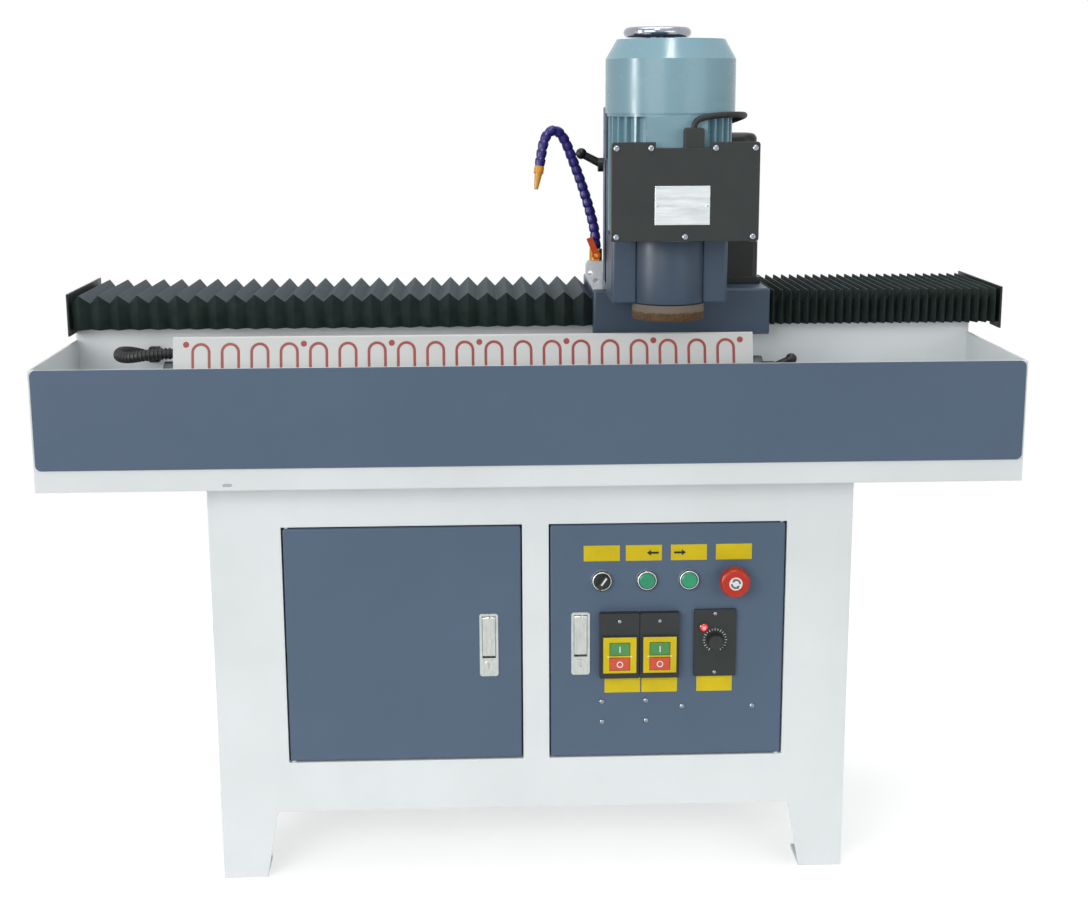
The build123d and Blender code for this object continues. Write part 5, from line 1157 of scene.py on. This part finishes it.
class GRINDER_OT_switch_marks(bpy.types.Operator):
    """Frame the start and stop buttons in yellow and mark them with a bar and a ring"""

    bl_idname = "grinder.switch_marks"
    bl_label = "Switch frames and marks"

    def execute(self, context):
        for switch in ("wheel", "pump"):
            start, stop = switch + "_start", switch + "_stop"
            start_low, start_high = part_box(start + "_button")
            stop_low, stop_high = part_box(stop + "_button")
            start_mid, stop_mid = middle(start + "_button"), middle(stop + "_button")
            left, right = start_low.x - FRAME_GAP, start_high.x + FRAME_GAP
            bottom, top = stop_low.z - FRAME_GAP, start_high.z + FRAME_GAP
            seam = (start_low.z + stop_high.z) / 2
            front = start_low.y + BUTTON_PROUD - FRAME_PROUD
            yellow = switch_frame(left, right, bottom, seam, top, front)
            make_piece(switch + "_frame", yellow, "door_right", "tag_yellow")
            aside = PIN_SHARE * FRAME_SIDE
            spots = [(x, front, seam) for x in (left - aside, right + aside)]
            make_screws(switch + "_pins", PIN_RADIUS, PIN_RISE, spots, "door_right", "mark_white")
            bar = block_shape(BAR_WIDTH, MARK_RISE, BAR_HEIGHT, MARK_EDGE)
            depth = start_low.y - MARK_RISE / 2
            moved(bar, Matrix.Translation((start_mid.x, depth, start_mid.z)))
            make_piece(start + "_mark", bar, start, "mark_white")
            ring = turned_shape(RING_PROFILE, MARK_STEPS)
            moved(ring, facing((start_mid.x, stop_low.y, stop_mid.z), FRONT))
            make_piece(stop + "_mark", ring, stop, "mark_white")
        return {"FINISHED"}


# The speed controller's dial, its ticks turned up to the sweep either way, in degrees
SPEED_PROUD = 0.005
DIAL_RADIUS, DIAL_SWEEP, TICK_STEP = 0.0155, 150, 30
TICK_WIDTH, LONG_TICK, SHORT_TICK = 0.0008, 0.0036, 0.0022
# The lamp's place beside and above the knob, and its seat's height
LAMP_ASIDE, LAMP_RISE, LAMP_PROUD = 0.016, 0.0193, 0.003
# The lens, as points of (share of the lamp's radius, height)
LENS_PROFILE = (
    (0.0, 0.0032),
    (0.4, 0.0029),
    (0.75, 0.0019),
    (1.0, 0.0004),
    (1.0, 0.0),
    (0.0, 0.0),
)
LENS_RISE = LENS_PROFILE[0][1]


class GRINDER_OT_speed_marks(bpy.types.Operator):
    """Give the speed controller its dial ticks and its lamp lens"""

    bl_idname = "grinder.speed_marks"
    bl_label = "Speed dial"

    def execute(self, context):
        lamp = context.scene.grinder_sizes.lamp
        knob = middle("speed_knob")
        front = DOOR_FRONT - SPEED_PROUD
        centre = Matrix.Translation((knob.x, front - MARK_RISE / 2, knob.z))
        reach = Matrix.Translation((0, 0, DIAL_RADIUS))
        rings = []
        for length, first in (
            (LONG_TICK, -DIAL_SWEEP),
            (SHORT_TICK, -DIAL_SWEEP + TICK_STEP // 2),
        ):
            turns = [radians(turn) for turn in range(first, DIAL_SWEEP + 1, TICK_STEP)]
            tick = block_shape(TICK_WIDTH, MARK_RISE, length, MARK_EDGE)
            places = [centre @ Matrix.Rotation(turn, 4, "Y") @ reach for turn in turns]
            rings.append(repeated(tick, places))
        make_piece("dial_ticks", joined(*rings), "door_right", "mark_white")
        lens = turned_shape(scaled(LENS_PROFILE, lamp, 1.0), MARK_STEPS)
        spot = Vector((knob.x - LAMP_ASIDE, front - LAMP_PROUD, knob.z + LAMP_RISE))
        moved(lens, facing(spot, FRONT))
        crown = spot + LENS_RISE * Vector(FRONT)
        FINISHES["lamp_red"] = lit_lens(
            "lamp_red", tone(214, 24, 30), tone(255, 210, 208), crown, lamp
        )
        make_piece("lamp_lens", lens, "door_right", "lamp_red")
        return {"FINISHED"}


# Screws in the door: their place to the right of the tray's middle, and their height
DOOR_SCREWS = (
    (0.0966, 0.2578),
    (0.1592, 0.2587),
    (0.2107, 0.2491),
    (0.3109, 0.2481),
    (0.0970, 0.2278),
    (0.1597, 0.2286),
)
DOOR_SCREW_RISE = 0.0022
# Smaller screws in the switch boxes, and in the speed controller above and below its knob
SWITCH_SCREW_Z, SWITCH_PROUD = 0.3795, 0.012
SPEED_SCREW_RISES = (0.0385, -0.0475)
BOX_SCREW_SHARE, BOX_SCREW_RISE = 0.7, 0.0012


class GRINDER_OT_door_screws(bpy.types.Operator):
    """Set the small screws in the control door and its boxes"""

    bl_idname = "grinder.door_screws"
    bl_label = "Door screws"

    def execute(self, context):
        radius = context.scene.grinder_sizes.panel_screw
        spots = [(TRAY_MID + x, DOOR_FRONT, z) for x, z in DOOR_SCREWS]
        make_screws("door_screws", radius, DOOR_SCREW_RISE, spots, "door_right", "screw_zinc")
        switches = [middle(name) for name in ("wheel_start_button", "pump_start_button")]
        spots = [(switch.x, DOOR_FRONT - SWITCH_PROUD, SWITCH_SCREW_Z) for switch in switches]
        knob = middle("speed_knob")
        for rise in SPEED_SCREW_RISES:
            spots.append((knob.x, DOOR_FRONT - SPEED_PROUD, knob.z + rise))
        small = BOX_SCREW_SHARE * radius
        make_screws("box_screws", small, BOX_SCREW_RISE, spots, "door_right", "screw_zinc")
        return {"FINISHED"}


BEZEL_RADIUS, BEZEL_BORE, BEZEL_PROUD = 0.0150, 0.0114, 0.0064
BEZEL_WALL = 0.0002
# From the bore over the rounded face to the door, and back inside the thin wall
BEZEL_PROFILE = (
    (BEZEL_BORE, BEZEL_PROUD - 0.0012),
    (BEZEL_BORE + 0.0006, BEZEL_PROUD),
    (BEZEL_RADIUS - 0.0022, BEZEL_PROUD),
    (BEZEL_RADIUS - 0.0004, BEZEL_PROUD - 0.0014),
    (BEZEL_RADIUS, BEZEL_PROUD - 0.0026),
    (BEZEL_RADIUS, 0.0),
    (BEZEL_RADIUS - BEZEL_WALL, 0.0),
    (BEZEL_RADIUS - BEZEL_WALL, BEZEL_PROUD - 0.0026 - BEZEL_WALL),
    (BEZEL_BORE, BEZEL_PROUD - 0.0012),
)


class GRINDER_OT_bezels(bpy.types.Operator):
    """Put the plated bezels round the four devices of the control row"""

    bl_idname = "grinder.bezels"
    bl_label = "Bezels"

    def execute(self, context):
        row = middle("forward_button").z
        places = []
        for device in ("selector", "forward_button", "reverse_button", "estop"):
            places.append(facing((middle(device).x, DOOR_FRONT, row), FRONT))
        rings = repeated(turned_shape(BEZEL_PROFILE, DEVICE_STEPS), places)
        make_piece("bezels", rings, "door_right", "plate_silver")
        return {"FINISHED"}


# The line on the selector's grip, its place out from the grip's axis and its turn in degrees
LINE_WIDTH, LINE_DEPTH, LINE_LENGTH, LINE_EDGE = 0.0024, 0.0006, 0.0125, 0.0002
LINE_PROUD, LINE_OUT = 0.0002, 0.003
GRIP_TURN = 35.0
# The emergency stop's disc and its two turning arrows
DISC_RADIUS, DISC_RISE = 0.0092, 0.0003
DISC_PROFILE = ((0.0, DISC_RISE), (DISC_RADIUS, DISC_RISE), (DISC_RADIUS, 0.0), (0.0, 0.0))
TURN_RADIUS, TURN_WIDTH, TURN_SWEEP, TURN_STEPS = 0.0058, 0.0028, radians(112.0), 14
TURN_PROUD = 0.0001
# Length of a turning arrow's head, in widths of its shaft
TURN_HEAD = 1.6


def turning_arrow(centre, start):
    """Corners of an arrow bent round a centre, from a start angle over its sweep."""

    def corner(radius, turn):
        """A corner at a radius and an angle."""
        return (centre.x + radius * cos(turn), centre.z + radius * sin(turn))

    turns = [start + TURN_SWEEP * step / TURN_STEPS for step in range(TURN_STEPS + 1)]
    end = turns[-1]
    tip = end + TURN_HEAD * TURN_WIDTH / TURN_RADIUS
    outer = [corner(TURN_RADIUS + TURN_WIDTH / 2, turn) for turn in turns]
    inner = [corner(TURN_RADIUS - TURN_WIDTH / 2, turn) for turn in turns]
    head = [
        corner(TURN_RADIUS + TURN_WIDTH, end),
        corner(TURN_RADIUS, tip),
        corner(TURN_RADIUS - TURN_WIDTH, end),
    ]
    return outer + head + inner[::-1]


class GRINDER_OT_pointer(bpy.types.Operator):
    """Mark the selector with a white line and the emergency stop with arrows on a white disc"""

    bl_idname = "grinder.pointer"
    bl_label = "Pointers"

    def execute(self, context):
        grip = middle("selector")
        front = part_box("selector")[0].y
        line = block_shape(LINE_WIDTH, LINE_DEPTH, LINE_LENGTH, LINE_EDGE)
        moved(line, Matrix.Translation((0, 0, LINE_OUT)))
        moved(line, Matrix.Rotation(radians(GRIP_TURN), 4, "Y"))
        moved(line, Matrix.Translation((grip.x, front - LINE_PROUD, grip.z)))
        make_piece("selector_line", line, "selector", "mark_white")
        stop = middle("estop")
        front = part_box("estop")[0].y
        disc = turned_shape(DISC_PROFILE, DEVICE_STEPS)
        moved(disc, facing((stop.x, front, stop.z), FRONT))
        make_piece("estop_disc", disc, "estop", "mark_white")
        arrows = []
        for start in (0.0, pi):
            outline = turning_arrow(stop, start)
            arrows.append(plate_shape(outline, front - DISC_RISE - TURN_PROUD, ARROW_THICK))
        make_piece("estop_arrows", joined(*arrows), "estop", "mark_grey")
        return {"FINISHED"}


# Stage


FLOOR_SIZE = 30.0
# Distances from the machine's middle at which the floor starts to fade and is gone
FLOOR_NEAR, FLOOR_GONE = 0.85, 2.1
FLOOR_LIFT = 0.46
WORLD_LIGHT = 0.52
# Lamps: name, place, aim, power in watts, width and height, and whether they light matt surfaces
LIGHTS = (
    ("key", (-1.9, -3.2, 1.7), (0.0, 0.0, 0.7), 56.0, (2.4, 1.68), True),
    ("fill", (2.4, -3.0, 1.2), (0.0, 0.0, 0.65), 25.0, (2.4, 1.68), True),
    ("top", (0.0, 0.2, 3.6), (0.0, 0.0, 0.6), 32.0, (2.6, 1.82), True),
    ("window", (-2.6, -1.05, 1.25), (0.18, -0.17, 1.1), 80.0, (0.24, 1.8), False),
    ("ceiling", (0.02, -1.65, 3.46), (0.18, -0.17, 1.1), 40.0, (0.5, 0.35), False),
)
CAMERA_PLACE = (-0.0923, -2.4747, 1.104)
CAMERA_YAW = radians(2.284)
CAMERA_PITCH = radians(12.188)
CAMERA_ROLL = radians(-0.225)
CAMERA_LENS, CAMERA_SENSOR = 56.38, 36.0
WHITE, BLACK = (1, 1, 1, 1), (0, 0, 0, 1)


def seen_rays(tree):
    """A factor of 1 for what is seen, directly, in metal or through glass, and else of 0."""
    path = add_node(tree, "ShaderNodeLightPath").outputs
    mirrored = reckoned(tree, "MAXIMUM", path["Is Glossy Ray"], path["Is Transmission Ray"])
    return reckoned(tree, "MAXIMUM", path["Is Camera Ray"], mirrored)


def floor_finish():
    """A pale floor that holds the shadow near the machine and fades to the white surroundings."""
    material, tree, shader, place = blank_finish("floor")
    far = reckoned(tree, "LENGTH", place, kind=VECTORS)
    fade = ranged(tree, far, FLOOR_NEAR, FLOOR_GONE, run="SMOOTHSTEP")
    clouds = speckle(tree, place, scale=3.0)
    pale = two_tones(tree, clouds, shade(WHITE, 0.86), shade(WHITE, 0.88))
    lift = ranged(tree, fade, 0.0, 1.0, low=FLOOR_LIFT, high=1.0)
    set_shader(
        tree,
        shader,
        Base_Color=over(tree, fade, pale, BLACK),
        Roughness=0.9,
        Specular_IOR_Level=0.0,
        Emission_Color=WHITE,
        Emission_Strength=reckoned(tree, "MULTIPLY", lift, seen_rays(tree)),
    )
    return material


def lay_floor(scene):
    """The floor, flat on the ground."""
    shape = bmesh.new()
    bmesh.ops.create_grid(shape, x_segments=1, y_segments=1, size=FLOOR_SIZE)
    mesh = as_mesh("floor", shape)
    mesh.materials.append(floor_finish())
    floor = bpy.data.objects.new("floor", mesh)
    scene.collection.objects.link(floor)


def hang_lamps(scene):
    """The lamps, each turned to its aim. Those that light no matt surface show as highlights."""
    for name, place, aim, power, (width, height), soft in LIGHTS:
        lamp = bpy.data.lights.new(name, "AREA")
        lamp.shape = "RECTANGLE"
        lamp.size = width
        lamp.size_y = height
        lamp.energy = power
        source = bpy.data.objects.new(name, lamp)
        source.location = place
        source.visible_diffuse = soft
        source.rotation_euler = (Vector(aim) - Vector(place)).to_track_quat("-Z", "Y").to_euler()
        scene.collection.objects.link(source)


def whiten_surroundings(scene):
    """White surroundings, full where they are seen and dimmer as a light."""
    world = bpy.data.worlds.new("studio")
    world.use_nodes = True
    tree = world.node_tree
    lit = tree.nodes["Background"]
    power = ranged(tree, seen_rays(tree), 0.0, 1.0, low=WORLD_LIGHT, high=1.0)
    set_shader(tree, lit, Color=WHITE, Strength=power)
    scene.world = world


def set_camera(scene):
    """The photograph's camera, with colours shown as they are."""
    lens = bpy.data.cameras.new("camera")
    lens.lens = CAMERA_LENS
    lens.sensor_width = CAMERA_SENSOR
    lens.sensor_fit = "HORIZONTAL"
    camera = bpy.data.objects.new("camera", lens)
    turn = Matrix.Rotation(-CAMERA_YAW, 4, "Z") @ Matrix.Rotation(pi / 2 - CAMERA_PITCH, 4, "X")
    roll = Matrix.Rotation(CAMERA_ROLL, 4, "Z")
    camera.matrix_world = Matrix.Translation(CAMERA_PLACE) @ turn @ roll
    scene.collection.objects.link(camera)
    scene.camera = camera
    scene.view_settings.view_transform = "Standard"


class GRINDER_OT_stage(bpy.types.Operator):
    """Set the floor, the soft lights, the white surroundings and the photograph's camera"""

    bl_idname = "grinder.stage"
    bl_label = "Stage"

    def execute(self, context):
        lay_floor(context.scene)
        hang_lamps(context.scene)
        whiten_surroundings(context.scene)
        set_camera(context.scene)
        return {"FINISHED"}


# Panel and registering


STEPS = (
    GRINDER_OT_solids,
    GRINDER_OT_bellows,
    GRINDER_OT_conduit,
    GRINDER_OT_coolant_hose,
    GRINDER_OT_motor_cable,
    GRINDER_OT_head_fittings,
    GRINDER_OT_chuck_plugs,
    GRINDER_OT_tags,
    GRINDER_OT_switch_marks,
    GRINDER_OT_speed_marks,
    GRINDER_OT_door_screws,
    GRINDER_OT_bezels,
    GRINDER_OT_pointer,
    GRINDER_OT_stage,
)


class GRINDER_PT_steps(bpy.types.Panel):
    """Lists the steps that dress the machine, with its colours and fine sizes"""

    bl_idname = "GRINDER_PT_steps"
    bl_label = "Knife grinder"
    bl_space_type = "VIEW_3D"
    bl_region_type = "UI"
    bl_category = "Grinder"

    def draw(self, context):
        for step in STEPS:
            self.layout.operator(step.bl_idname)
        for group in (context.scene.grinder_colours, context.scene.grinder_sizes):
            for key in group.__annotations__:
                self.layout.prop(group, key)


CLASSES = (GrinderColours, GrinderSizes, *STEPS, GRINDER_PT_steps)


def register():
    for kind in CLASSES:
        bpy.utils.register_class(kind)
    bpy.types.Scene.grinder_colours = PointerProperty(type=GrinderColours)
    bpy.types.Scene.grinder_sizes = PointerProperty(type=GrinderSizes)


def unregister():
    del bpy.types.Scene.grinder_sizes
    del bpy.types.Scene.grinder_colours
    for kind in reversed(CLASSES):
        bpy.utils.unregister_class(kind)


def main():
    """Dress the whole machine."""
    register()
    bpy.ops.grinder.solids()
    bpy.ops.grinder.bellows()
    bpy.ops.grinder.conduit()
    bpy.ops.grinder.coolant_hose()
    bpy.ops.grinder.motor_cable()
    bpy.ops.grinder.head_fittings()
    bpy.ops.grinder.chuck_plugs()
    bpy.ops.grinder.tags()
    bpy.ops.grinder.switch_marks()
    bpy.ops.grinder.speed_marks()
    bpy.ops.grinder.door_screws()
    bpy.ops.grinder.bezels()
    bpy.ops.grinder.pointer()
    bpy.ops.grinder.stage()


if __name__ == "__main__":
    main()
